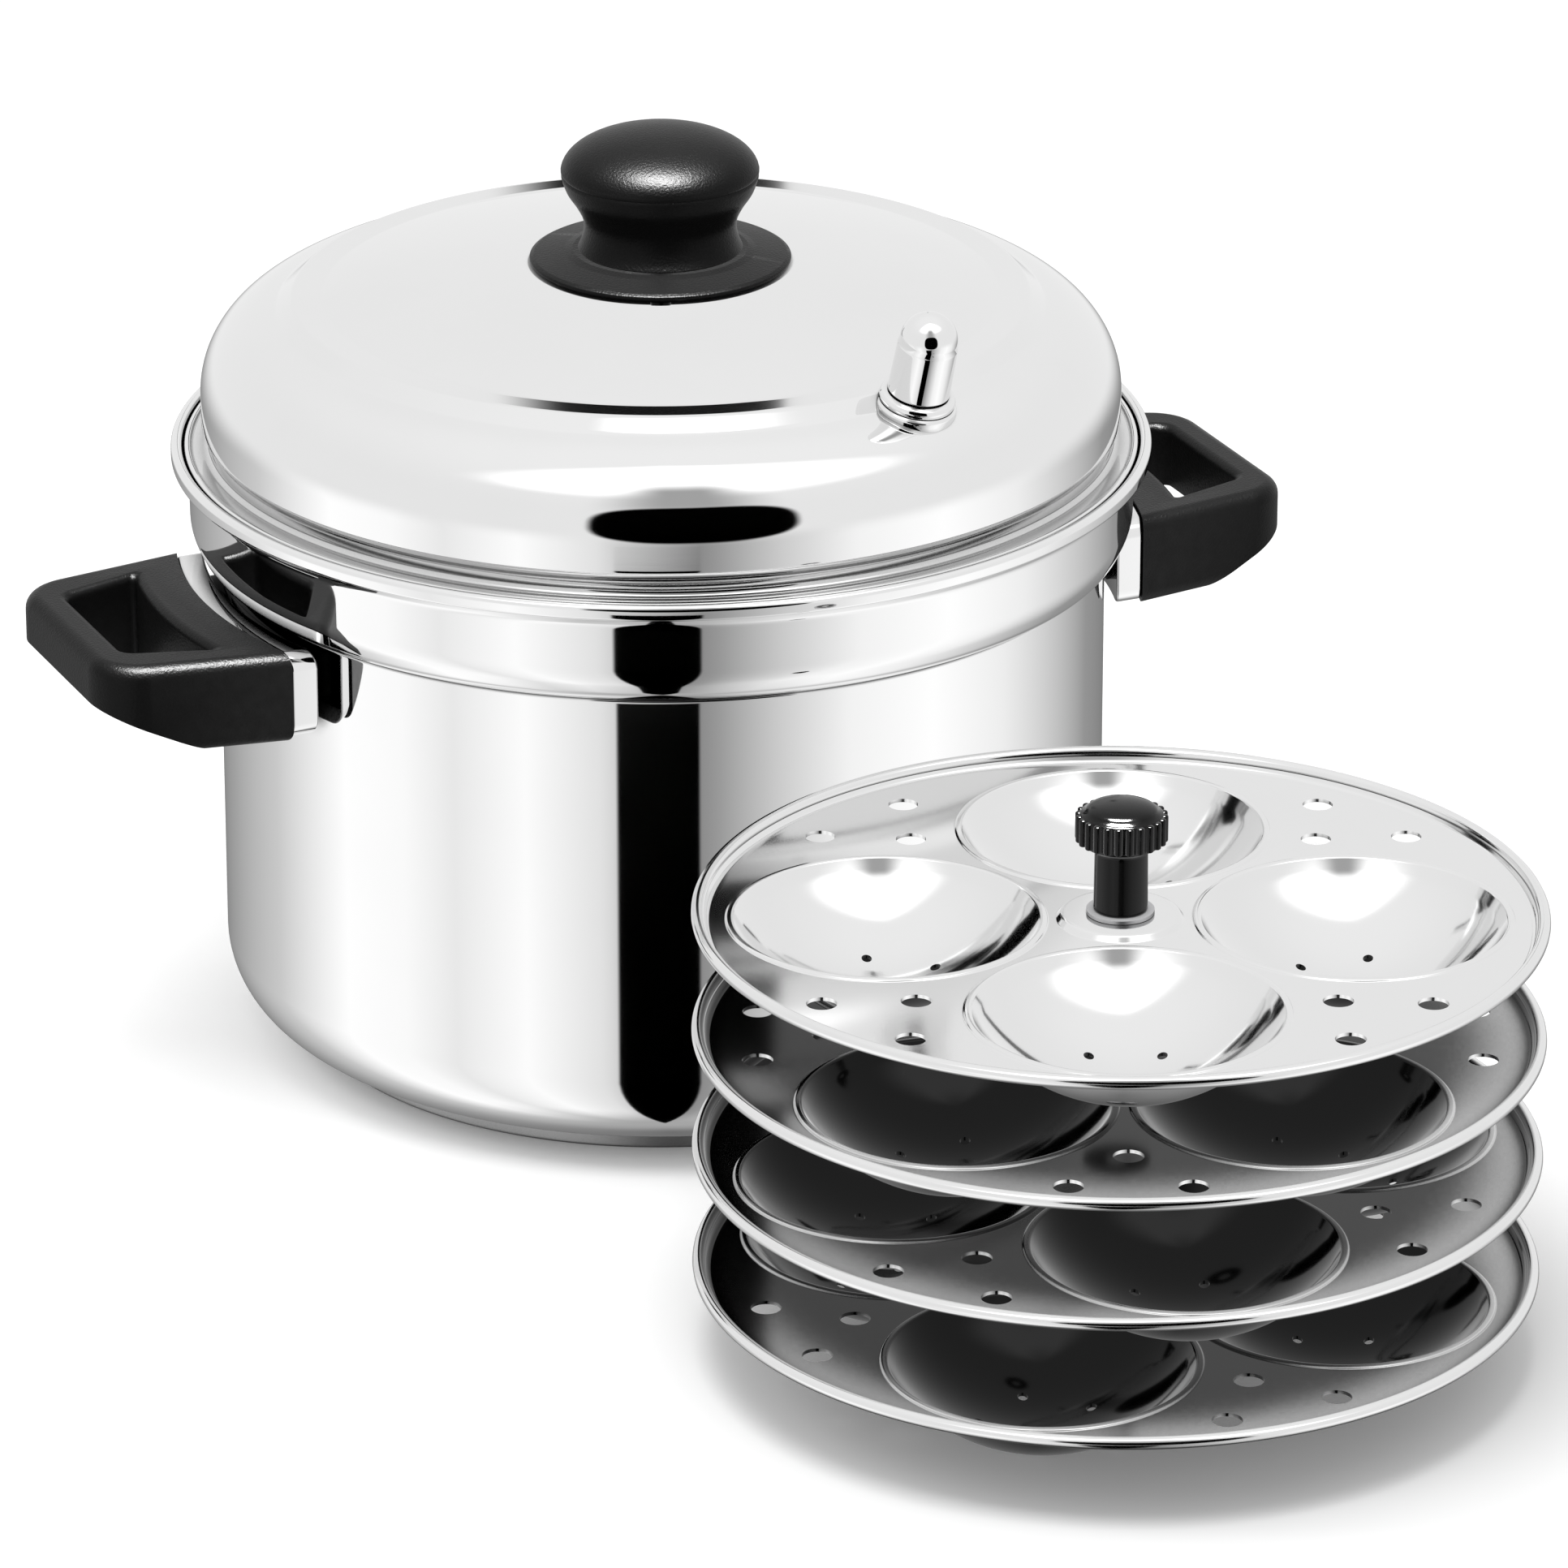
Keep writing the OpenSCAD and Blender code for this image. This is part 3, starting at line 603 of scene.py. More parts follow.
# %% Knob
KNOB_R, KNOB_Z, knob_top = measured("lid_knob")
KNOB_H = knob_top - KNOB_Z
PART_LINE = 0.64 * KNOB_H
waist = flowing([(19.3, 0.3), (18.5, 2.2), (17.9, 5.0), (18.2, 7.8), (19.8, 11.0), (21.9, 14.2),
                 (23.1, PART_LINE - 0.9)])
crown_h = KNOB_H - PART_LINE
crown = [(KNOB_R * math.cos(math.radians(a)) ** 0.93, PART_LINE + crown_h * math.sin(math.radians(a)) ** 0.97)
         for a in range(5, 90, 5)]
parting = [(23.12, PART_LINE - 0.3), (22.95, PART_LINE), (23.2, PART_LINE + 0.3)]
profile = [(0, 0), (19.0, 0), *waist, *parting, *crown, (0, KNOB_H)]
knob = smooth(turned("knob", [(r, KNOB_Z + z) for r, z in profile], steps=160), 50)
finish_piece(knob, SATIN_BLACK, "lid", ["lid_knob"], mirrored=False)

# %% Flange and insert
FLANGE_R, FLANGE_Z, flange_top = measured("knob_flange")
FLANGE_T = flange_top - FLANGE_Z
flange_outline = [(0, 0), (FLANGE_R - 1.2, 0, 0.6), (FLANGE_R, 1.3, 0.5), (FLANGE_R - 1.3, 2.0, 0.8),
                  (22.5, FLANGE_T - 0.5, 3), (20.6, FLANGE_T, 0.4), (0, FLANGE_T)]
flange = smooth(turned("knob_flange_disc", [(r, FLANGE_Z + z) for r, z in bent(flange_outline)]))
finish_piece(flange, SATIN_BLACK, "lid", ["knob_flange"], mirrored=False)
_, z0, z1 = measured("knob_insert")
insert = turned("knob_brass_insert", bent([(2.5, z0), (4.4, z0, 0.3), (4.4, z1, 0.3), (0, z1)]), steps=48)
finish_piece(smooth(insert), BRASS, "lid", ["knob_insert"], mirrored=False)

# %% [markdown]
# ## The vent
# A short pipe comes up through the lid with a collar round its foot, and a loose domed cap sits over
# it. The vent leans out with the dome. It is turned upright at the origin, then tilted and moved.

# %% Pad, pipe and collar
VENT_AT = 91.99
VENT_TURN = -74.0
VENT_LEAN = 14.76
VENT_PAD = 1.5
vent_foot = (VENT_AT * math.cos(math.radians(VENT_TURN)), VENT_AT * math.sin(math.radians(VENT_TURN)),
             dome(VENT_AT) - RING_DROP + VENT_PAD)
COLLAR_R = 8.9
COLLAR_H = 2.4


def set_vent(piece):
    return smooth(placed(piece, vent_foot, VENT_LEAN, VENT_TURN), 40)


pad_outline = bent([(3.6, -4.4), (9.2, -4.4), (9.4, -0.6, 0.8), (8.8, 0, 0.3), (3.6, 0), (3.6, -4.4)])
pad = turned("vent_pad", pad_outline, steps=96)
finish_piece(set_vent(pad), POLISHED, "lid")
pipe_outline = [(1.6, -10.2), (3.5, -10.2), (3.5, 0), (COLLAR_R - 0.3, 0, 0.4), (COLLAR_R, 1.2, 0.9),
                (COLLAR_R - 0.5, COLLAR_H - 0.3, 0.7), (COLLAR_R - 1.6, COLLAR_H, 0.4), (3.5, COLLAR_H),
                (3.5, 13), (1.6, 13), (1.6, -10.2)]
vent_pipe = turned("vent_pipe_and_collar", bent(pipe_outline), steps=96)
finish_piece(set_vent(vent_pipe), POLISHED, "lid", ["vent_pipe"])

# %% Cap
CAP_H = 20.2
CAP_FOOT = COLLAR_H + 0.3
CAP_WIDE, CAP_NARROW = 7.3, 6.7
cap_outline = bent([
    (3.6, CAP_FOOT), (CAP_WIDE - 0.1, CAP_FOOT, 0.4), (CAP_NARROW + 0.25, CAP_FOOT + 12.2, 0.8),
    (CAP_NARROW - 0.05, CAP_FOOT + CAP_H - CAP_NARROW)])
cap_outline += arc(0, CAP_FOOT + CAP_H - CAP_NARROW, CAP_NARROW, 2, 90, 20)
cap_bore = [(0, CAP_FOOT + 10.6), (3.6, CAP_FOOT + 10.6), (3.6, CAP_FOOT)]
vent_cap = turned("vent_cap_dome", cap_outline + cap_bore, steps=128)
finish_piece(set_vent(vent_cap), POLISHED, "vent_cap", ["vent_cap"])

# %% [markdown]
# ## The handles
# A handle is a moulded loop: a bar against the pot, two arms and an outer bar, round a window for the
# fingers. It could be built as a ring of bridged sections, but its plan and its side view are both
# plain, so it is made as a maker would cut a block. The plan is drawn and extruded, and its upper edges
# are rounded. The underside is bisected on a slant, and its edges are rounded in turn. Booleans then cut
# the foot to the guard's radius, and the window with a cutter that widens upwards like a round edge.

# %% Drawing, cutting and rounding a block
SHARP = 40


def drawn(name, outline, low, high):
    """A plan drawn point by point, filled, and extruded from one height to another."""
    piece = wire(name, [(x, y, low) for x, y in outline])
    bpy.ops.mesh.edge_face_add()
    bpy.ops.mesh.select_all(action="SELECT")
    bpy.ops.mesh.extrude_region_move(TRANSFORM_OT_translate={"value": (0, 0, (high - low) * MM)})
    face_out()
    return piece


def cut(piece, cutter, operation="DIFFERENCE"):
    """Applies a Boolean and removes the cutter."""
    pick(piece)
    modifier = piece.modifiers.new("Cut", "BOOLEAN")
    modifier.operation = operation
    modifier.solver = "EXACT"
    modifier.object = cutter
    bpy.ops.object.modifier_apply(modifier=modifier.name)
    bpy.data.objects.remove(cutter)
    return piece


def round_edges(piece, wanted, width, segments, clamp=False):
    """Bevels the sharp edges whose two ends pass the test."""
    open_mesh(piece, "EDGE", "DESELECT")
    bpy.ops.mesh.edges_select_sharp(sharpness=math.radians(SHARP))
    bpy.ops.object.mode_set(mode="OBJECT")
    points = piece.data.vertices
    count = 0
    for edge in piece.data.edges:
        a, b = (points[i].co / MM for i in edge.vertices)
        edge.select = edge.select and wanted(a, b)
        count += edge.select
    bpy.ops.object.mode_set(mode="EDIT")
    bpy.ops.mesh.bevel(offset=width * MM, segments=segments, profile=0.5, clamp_overlap=clamp,
                       loop_slide=False)
    bpy.ops.object.mode_set(mode="OBJECT")
    print(f"{piece.name}: {count} edges rounded")


def even_normals(piece):
    """Keeps flat faces flat beside round edges, by weighing the shared normals by area."""
    pick(piece)
    modifier = piece.modifiers.new("Even normals", "WEIGHTED_NORMAL")
    modifier.weight = 100
    modifier.keep_sharp = True
    bpy.ops.object.modifier_apply(modifier=modifier.name)


# %% Handle sizes
grip_low, grip_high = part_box("right_grip")
GRIP_TOP = grip_high.z / MM
GRIP_DEPTH = (grip_high.z - grip_low.z) / MM
GRIP_FOOT = GRIP_TOP - GRIP_DEPTH
GRIP_MID = GRIP_TOP - GRIP_DEPTH / 2
FOOT_R = POT_R + 10
FOOT_HALF = 38.0
GRIP_BACK = 92.0
TIP_X = grip_high.x / MM
TIP_HALF = 31.0
TIP_DEPTH = 11.0
TIP_ROUND = 13.0
ARM = 10.0
WINDOW_IN = FOOT_R + 11
WINDOW_OUT = TIP_X - 9
WINDOW_HALF = FOOT_HALF - ARM
WINDOW_TIP_HALF = TIP_HALF - ARM - 1.5
WINDOW_ROUND = 2.0
SLOPE_X = WINDOW_IN + 2
TOP_BEVEL, LOWER_BEVEL = (3.6, 8), (1.3, 4)
PAST = 5.0
print(f"handle: reaches {TIP_X:.1f} mm, window {WINDOW_OUT - WINDOW_IN:.1f} mm deep")

# %% The block


def make_block():
    """The handle without its window, drawn too long at the back and cut there once its edges are round."""
    foot_x = math.sqrt(FOOT_R ** 2 - FOOT_HALF ** 2)
    back_half = FOOT_HALF + (FOOT_HALF - TIP_HALF) / (TIP_X - foot_x) * (foot_x - GRIP_BACK)
    plan = bent([(GRIP_BACK, -back_half), (TIP_X, -TIP_HALF, TIP_ROUND), (TIP_X, TIP_HALF, TIP_ROUND),
                 (GRIP_BACK, back_half)], 5)
    block = drawn("right_handle", plan, GRIP_FOOT, GRIP_TOP)

    def off_back(a, b):
        return max(a.x, b.x) > GRIP_BACK + 1

    round_edges(block, lambda a, b: off_back(a, b) and min(a.z, b.z) > GRIP_TOP - 0.01, *TOP_BEVEL)
    open_mesh(block, "EDGE")
    rise, run = GRIP_DEPTH - TIP_DEPTH, TIP_X - SLOPE_X
    slant = math.hypot(rise, run)
    bpy.ops.mesh.bisect(plane_co=(SLOPE_X * MM, 0, GRIP_FOOT * MM),
                        plane_no=(rise / slant, 0, -run / slant), use_fill=True, clear_outer=True)
    face_out()
    round_edges(block, lambda a, b: off_back(a, b) and max(a.z, b.z) < GRIP_TOP - 5
                and abs(a.z - b.z) < 0.9 * (a - b).length, *LOWER_BEVEL, clamp=True)
    low, high = GRIP_FOOT - PAST, GRIP_TOP + PAST
    return cut(block, turned("foot", [(0, low), (FOOT_R, low), (FOOT_R, high), (0, high)], steps=256))


# %% The window


def pot_arc(radius, half, count):
    """Part of a circle round the pot's axis, from half to the left to half to the right."""
    limit = math.degrees(math.asin(half / radius))
    return arc(0, 0, radius, limit, -limit, count)


def flare(cutter, top, middle, half, radius, count=6):
    """Widens the top of a cutter along a quarter circle, so that what it cuts gets a round edge."""
    open_mesh(cutter, "FACE", "DESELECT")
    bpy.ops.object.mode_set(mode="OBJECT")
    for face in cutter.data.polygons:
        face.select = face.center.z > (top - 0.01) * MM
    bpy.ops.object.mode_set(mode="EDIT")
    wide = high = 0.0
    for i in range(1, count + 1):
        angle = math.pi / 2 * i / count
        wider, higher = radius * (1 - math.cos(angle)), radius * math.sin(angle)
        bpy.ops.mesh.extrude_region_move(TRANSFORM_OT_translate={"value": (0, 0, (higher - high) * MM)})
        bpy.ops.transform.resize(value=[(h + wider) / (h + wide) for h in half] + [1],
                                 center_override=(middle * MM, 0, top * MM))
        wide, high = wider, higher
    bpy.ops.mesh.extrude_region_move(TRANSFORM_OT_translate={"value": (0, 0, 4 * MM)})
    bpy.ops.object.mode_set(mode="OBJECT")


def make_window():
    """The cutter: curved like the pot at its foot, straight at its tip, with round corners."""
    foot_side = pot_arc(WINDOW_IN, WINDOW_HALF - 6, 14)
    tip_side = bent([(WINDOW_IN - 4, -WINDOW_HALF - 0.4), (WINDOW_OUT, -WINDOW_TIP_HALF, 4.5),
                     (WINDOW_OUT, WINDOW_TIP_HALF, 4.5), (WINDOW_IN - 4, WINDOW_HALF + 0.4)], 12)[1:-1]
    corner_half = WINDOW_HALF - 1.6
    corner = (math.sqrt(WINDOW_IN ** 2 - corner_half ** 2), -corner_half, 3.5)
    turn_in = bent([foot_side[-1], corner, (WINDOW_OUT, -WINDOW_TIP_HALF)], 12)[1:-1]
    turn_out = [(x, -y) for x, y in reversed(turn_in)]
    flare_z = GRIP_TOP - WINDOW_ROUND
    cutter = drawn("window", foot_side + turn_in + tip_side + turn_out, GRIP_FOOT - PAST, flare_z)
    half = ((WINDOW_OUT - WINDOW_IN) / 2, WINDOW_HALF - 3)
    flare(cutter, flare_z, (WINDOW_IN + WINDOW_OUT) / 2, half, WINDOW_ROUND)
    return cutter


grip = smooth(cut(make_block(), make_window()), 40)
even_normals(grip)
finish_piece(grip, SATIN_BLACK, "pot", ["right_grip"])

# %% [markdown]
# ## The flame guards
# A thin polished guard keeps the flame off the plastic: a shallow cup round the handle's foot, and a
# narrower collar against the wall. Its hollow side is closed by the handle, so it is made as one block:
# a rounded bar cut to two radii from the pot's axis, and a smaller bar behind it.

# %% One guard
GUARD_STEP = 3.6
GUARD_INSET = 0.6
FIT = 0.05


def bar_between(name, half, depth, r_in, r_out, corner):
    """A rounded bar across the handle's foot, cut to two radii."""
    turns = [(-half, -depth / 2, corner), (half, -depth / 2, corner), (half, depth / 2, corner),
             (-half, depth / 2, corner)]
    section = []
    for i, turn in enumerate(turns):
        section += bent([turns[i - 1][:2], turn, turns[(i + 1) % 4][:2]], 6)[1:-1]
    bar = drawn(name, section, 0, r_out - r_in + 18)
    bar.rotation_euler = (math.radians(90), 0, math.radians(90))
    bar.location = ((r_in - 16) * MM, 0, GRIP_MID * MM)
    pick(bar)
    bpy.ops.object.transform_apply(location=True, rotation=True, scale=True)
    low, high = GRIP_MID - depth, GRIP_MID + depth
    ring = turned("ring", [(r_in, low), (r_out, low), (r_out, high), (r_in, high), (r_in, low)], steps=256)
    return cut(bar, ring, "INTERSECT")


guard = bar_between("right_guard_cup", FOOT_HALF - GUARD_INSET, GRIP_DEPTH - 2 * GUARD_INSET,
                    POT_R + GUARD_STEP, FOOT_R - FIT, 4)
round_edges(guard, lambda a, b: True, 0.7, 4)
collar = bar_between("collar", FOOT_HALF - 9, GRIP_DEPTH - 7, POT_R + FIT, POT_R + GUARD_STEP + 0.5, 3)
guard = smooth(joined(guard, collar), 40)
even_normals(guard)
finish_piece(guard, POLISHED, "pot", ["right_guard"])

# %% One screw in the handle's window
HEAD_X = WINDOW_IN - 3.0
head_outline = bent([(0, 0), (4, 0), (4, 1.6, 0.9), (2.6, 2.6, 2.4), (0, 2.6)], 10)
head = turned("right_handle_screw", head_outline, steps=64)
clear_selection()
bpy.ops.mesh.primitive_cube_add(size=1, location=(0, 0, 2.4 * MM), scale=(1 * MM, 10 * MM, 1.8 * MM))
cut(head, bpy.context.object)
smooth(placed(head, (HEAD_X, 0, GRIP_MID), tilt=90), 40)
finish_piece(head, BRUSHED, "pot", ["right_screw"])

# %% [markdown]
# ## The other handle
# The left handle is the same moulding. Each piece is copied with its own mesh and turned half round
# the pot's axis, and the turn is put into the mesh, so that every object stays at the origin.

# %% Copies


def copied(piece, name, where=(0, 0, 0), turn=0.0):
    pick(piece)
    bpy.ops.object.duplicate(linked=False)
    copy = bpy.context.object
    copy.name = name
    return placed(copy, where, turn=turn)


for source, node, material, slot in ((grip, "left_grip", SATIN_BLACK, "handle_plastic"),
                                     (guard, "left_guard", POLISHED, "polished_steel"),
                                     (head, "left_screw", BRUSHED, "polished_steel")):
    copy = copied(source, source.name.replace("right", "left"), turn=180)
    finish_piece(copy, material, "pot", [node])

# %% [markdown]
# ## A plate of the rack
# Each plate is pressed from one sheet: a flat with four cups, steam holes, a raised hub and a rolled
# rim. A Boolean would leave long thin faces that spoil a mirror finish, so the sheet's upper face is
# built from exact rings: the rim, cups and hub are turned, every ring in the flat is a circle, and Fill
# closes the flat between them. Solidify then gives the sheet its thickness.

# %% Plate sizes
rod_low, rod_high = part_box("rack_rod")
RACK_X = (rod_low.x + rod_high.x) / 2 / MM
RACK_Y = (rod_low.y + rod_high.y) / 2 / MM
PLATE_R, PLATE_FOOT, _ = measured("plate_1")
PLATE_SHEET = 0.8
CUP_R = 33.6
CUP_DEPTH = 17.4
CUP_AT = PLATE_R - 7.6 - CUP_R - 1.6
CUP_RING = CUP_R + 2.35
HUB_RING = CUP_AT - CUP_R - 1.6 - 1.4
FLAT_RING = PLATE_R - 5.3
FIRST_Z = PLATE_FOOT + CUP_DEPTH + PLATE_SHEET
PITCH = 28.0
PLATE_TURNS = (-134, -99, -69, -114)
QUARTERS = [math.radians(90 * i) for i in range(4)]
print(f"plate: radius {PLATE_R:.2f}, cups at {CUP_AT:.2f}, rod at ({RACK_X:.2f}, {RACK_Y:.2f}) mm")

# %% The turned parts of the sheet
CUP_STEPS = 96
RIM_STEPS = 240
ball = (CUP_R ** 2 + CUP_DEPTH ** 2) / (2 * CUP_DEPTH)
edge_angle = math.degrees(math.asin(CUP_R / ball))
bowl = arc(0, ball - CUP_DEPTH, ball, -90, -90 + edge_angle - 3, 22)
lip = bent([bowl[-1], (CUP_R + 0.15, 0.62, 0.8), (CUP_R + 1.5, 0.45, 0.9), (CUP_R + 1.75, 0, 0.5),
            (CUP_R + 2.15, 0)], 12)
cup_outline = bowl[:-1] + lip + [(CUP_RING, 0)]
rim_outline = bent([(FLAT_RING, 0), (FLAT_RING + 0.15, 0), (PLATE_R - 3.3, 0, 1.8), (PLATE_R - 2.5, 1.5, 0.8),
                    (PLATE_R - 1.9, 2.1)], 12)
hub_outline = bent([(2.6, 1.5), (HUB_RING - 1.6, 1.5, 1.1), (HUB_RING - 0.5, 0, 1.0), (HUB_RING - 0.12, 0),
                    (HUB_RING, 0)], 12)

parts = [turned("plate_rim", rim_outline, RIM_STEPS), turned("plate_hub", hub_outline, CUP_STEPS)]
for a in QUARTERS:
    cup = turned("plate_cup", cup_outline, CUP_STEPS)
    parts.append(placed(cup, (CUP_AT * math.cos(a), CUP_AT * math.sin(a), 0)))
print("turned parts of the plate:", len(parts))

# %% Steam holes
STEAM_R = 3.4
STEAM_OUTER = PLATE_R - 13.5
STEAM_INNER = CUP_AT + 12.8
STEAM_SPREAD = 9.5
for quarter in QUARTERS:
    for radius, spread in ((STEAM_INNER, 0), (STEAM_OUTER, STEAM_SPREAD), (STEAM_OUTER, -STEAM_SPREAD)):
        a = quarter + math.radians(45 + spread)
        clear_selection()
        bpy.ops.mesh.primitive_circle_add(vertices=40, radius=STEAM_R * MM)
        parts.append(placed(bpy.context.object, (radius * math.cos(a), radius * math.sin(a), 0)))

# %% The flat between them
plate = joined(*parts)
open_mesh(plate, "EDGE", "DESELECT")
bpy.ops.object.mode_set(mode="OBJECT")
NEAR = 0.003


def in_flat(point):
    """True on the rings that bound the flat: its rim, its hub, the cups and the steam holes."""
    x, y, z = (c / MM for c in point)
    r = math.hypot(x, y)
    cup = min(math.dist((x, y), (CUP_AT * math.cos(a), CUP_AT * math.sin(a))) for a in QUARTERS)
    gaps = (FLAT_RING - r, r - HUB_RING, cup - CUP_RING)
    return abs(z) < NEAR / 3 and (min(abs(gap) for gap in gaps) < NEAR or min(gaps) > 3 * NEAR)


vertices = plate.data.vertices
for edge in plate.data.edges:
    edge.select = all(in_flat(vertices[i].co) for i in edge.vertices)
bpy.ops.object.mode_set(mode="EDIT")
bpy.ops.mesh.fill(use_beauty=True)
bpy.ops.mesh.select_all(action="SELECT")
bpy.ops.mesh.remove_doubles(threshold=MERGE * MM)
face_out()
if sum(face.normal.z * face.area for face in plate.data.polygons) < 0:
    open_mesh(plate, "EDGE")
    bpy.ops.mesh.flip_normals()
    bpy.ops.object.mode_set(mode="OBJECT")
print("plate's upper face:", len(plate.data.polygons), "faces")

# %% Thickness, drain holes and the rolled rim
pick(plate)
solid = plate.modifiers.new("Sheet", "SOLIDIFY")
solid.thickness = PLATE_SHEET * MM
solid.offset = -1
solid.use_even_offset = True
bpy.ops.object.modifier_apply(modifier=solid.name)

DRAIN_R = 1.15
DRAIN_AT = 13.5
clear_selection()
drills = []
for quarter in QUARTERS:
    for j in range(5):
        fifth = quarter + math.radians(72 * j)
        x = CUP_AT * math.cos(quarter) + DRAIN_AT * math.cos(fifth)
        y = CUP_AT * math.sin(quarter) + DRAIN_AT * math.sin(fifth)
        bpy.ops.mesh.primitive_cylinder_add(vertices=24, radius=DRAIN_R * MM, depth=8 * MM,
                                            location=(x * MM, y * MM, -CUP_DEPTH * MM))
        drills.append(bpy.context.object)
cut(plate, joined(*drills))

ROLL = 1.4
roll = turned("roll", arc(PLATE_R - ROLL, 1.9, ROLL, -180, 180, 20), steps=RIM_STEPS)
plate = smooth(joined(plate, roll), 32)

# %% Four plates
for k, turn in enumerate(PLATE_TURNS):
    copy = copied(plate, f"plate_{k + 1}_pressed", (RACK_X, RACK_Y, FIRST_Z + PITCH * k), turn)
    finish_piece(copy, PRESSED, f"plate_{k + 1}", [f"plate_{k + 1}"], mirrored=False)
bpy.data.objects.remove(plate)

# %% [markdown]
# ## Rod, spacers and thumb nut
# The plates are threaded on a rod with a tube between each pair, and the glossy black nut clamps them.
# The nut's ribs are one rounded bar, repeated round the head with Spin's duplicates. As with the knob,
# mirror rays don't see the rack.

# %% Rod and spacers


def on_rod(name, outline, steps):
    return smooth(placed(turned(name, outline, steps), (RACK_X, RACK_Y, 0)))


def sleeve(node, r_in, r_out, bend):
    """The outline of a tube as high as a CAD node."""
    _, z0, z1 = measured(node)
    return bent([(r_in, z0), (r_out, z0, bend), (r_out, z1, bend), (r_in, z1), (r_in, z0)])


_, z0, z1 = measured("rack_rod")
rod = on_rod("rod", bent([(0, z0), (2.5, z0, 0.4), (2.5, z1, 0.4), (0, z1)]), 48)
finish_piece(rod, BRUSHED, "rack", ["rack_rod"], mirrored=False)
for node in ("spacer_1", "spacer_2", "spacer_3"):
    tube = on_rod(f"{node}_tube", sleeve(node, 2.6, 4.5, 0.35), 64)
    finish_piece(tube, PRESSED, "rack", [node], mirrored=False)

# %% Thumb nut
NUT_Z = measured("thumb_nut")[1]
STEM_R = 6.0
STEM_H = 15.5
HEAD_R = 10.2
HEAD_H = 7.5
RIB_R = 0.9
RIBS = 24
BORE_R = 4.25
DOME_BASE_R, DOME_BASE_Z, DOME_RISE = HEAD_R - 2.2, STEM_H + HEAD_H - 0.1, 2.2
nut_outline = bent([
    (BORE_R, 0), (STEM_R, 0, 0.4), (STEM_R - 0.15, STEM_H - 1.5, 1.0), (HEAD_R - 1.6, STEM_H, 0.5),
    (HEAD_R - RIB_R, STEM_H + 0.8, 0.6), (HEAD_R - RIB_R, STEM_H + HEAD_H - 0.6, 0.7),
    (DOME_BASE_R, DOME_BASE_Z, 0.5)])
nut_dome = [(DOME_BASE_R * math.cos(a), DOME_BASE_Z + DOME_RISE * math.sin(a))
            for a in (math.radians(6 * i) for i in range(1, 16))]
nut_bore = [(0, 12.2), (BORE_R, 12.2), (BORE_R, 0)]
nut = turned("thumb_nut_body", nut_outline[:-1] + nut_dome + nut_bore, steps=144)
clear_selection()
bpy.ops.mesh.primitive_cylinder_add(vertices=20, radius=RIB_R * MM, depth=(HEAD_H - 1.2) * MM,
                                    location=((HEAD_R - RIB_R) * MM, 0, (STEM_H + HEAD_H / 2) * MM))
ribs = bpy.context.object
bpy.ops.object.transform_apply(location=True, rotation=True, scale=True)
round_edges(ribs, lambda a, b: abs(a.z - b.z) < 0.01, 0.45, 4)
open_mesh(ribs, "EDGE")
bpy.ops.mesh.spin(steps=RIBS - 1, angle=math.tau * (RIBS - 1) / RIBS, center=(0, 0, 0), axis=(0, 0, 1),
                  dupli=True)
bpy.ops.object.mode_set(mode="OBJECT")
nut = smooth(placed(joined(nut, ribs), (RACK_X, RACK_Y, NUT_Z)), 40)
finish_piece(nut, GLOSSY_BLACK, "thumb_nut", ["thumb_nut"], mirrored=False)
bush = on_rod("nut_brass_insert", sleeve("nut_insert", 2.55, 4.2, 0.2), 48)
finish_piece(bush, BRASS, "thumb_nut", ["nut_insert"], mirrored=False)

# %% [markdown]
# ## The pieces that keep their CAD shape
# Brackets, washers, nuts, inserts and the base's core are plain and mostly hidden. Their CAD meshes are
# right as they are, so they only get a finish.

# %% Finishes on CAD nodes
CAD_FINISH = {
    "base_core": ALUMINIUM, "right_bracket": BRUSHED, "left_bracket": BRUSHED,
    "knob_washer": BRUSHED, "knob_screw": BRUSHED, "vent_gasket": SILICONE, "vent_nut": BRUSHED,
    "foot_nut": BRUSHED, "rack_washer": BRUSHED}
for node, material in CAD_FINISH.items():
    node_object = frame["nodes"][node]
    if not node_object.material_slots:
        node_object.data.materials.append(material)
    for place in node_object.material_slots:
        place.material = material
print("finished CAD nodes:", len(CAD_FINISH))

# %% [markdown]
# ## The studio
# The object stands on a white floor in soft light. The floor is a plain plane that gives camera rays a
# little light of its own, so that it is nearly white and still keeps the shadow. Two soft lamps light
# the object, and mirrors see neither of them, because what the steel shows is drawn further below.

# %% Floor
clear_selection()
bpy.ops.mesh.primitive_plane_add(size=6)
floor = bpy.context.object
floor.name = "floor"
floor.visible_glossy = False
floor_material, floor_shader = start_material("White floor", (0.9, 0.9, 0.9), 0.9, Specular_IOR_Level=0.0)
floor.data.materials.append(floor_material)
lift = floor_material.node_tree.nodes.new("ShaderNodeLightPath").outputs["Is Camera Ray"]
floor_material.node_tree.links.new(maths(floor_material.node_tree, "MULTIPLY", lift, 0.14),
                                   floor_shader.inputs["Emission Strength"])
floor_shader.inputs["Emission Color"].default_value = (1, 1, 1, 1)


# %% Soft lamps
MIDDLE = Vector((0.0, -0.1, 0.1))


def soft_lamp(name, place, size, power):
    """A rectangle of soft light that faces the middle of the object."""
    data = bpy.data.lights.new(name, "AREA")
    data.shape = "RECTANGLE"
    data.size, data.size_y = size
    data.energy = power
    lamp = bpy.data.objects.new(name, data)
    bpy.context.scene.collection.objects.link(lamp)
    lamp.visible_glossy = False
    lamp.location = place
    lamp.rotation_euler = (MIDDLE - Vector(place)).to_track_quat("-Z", "Y").to_euler()
    return lamp


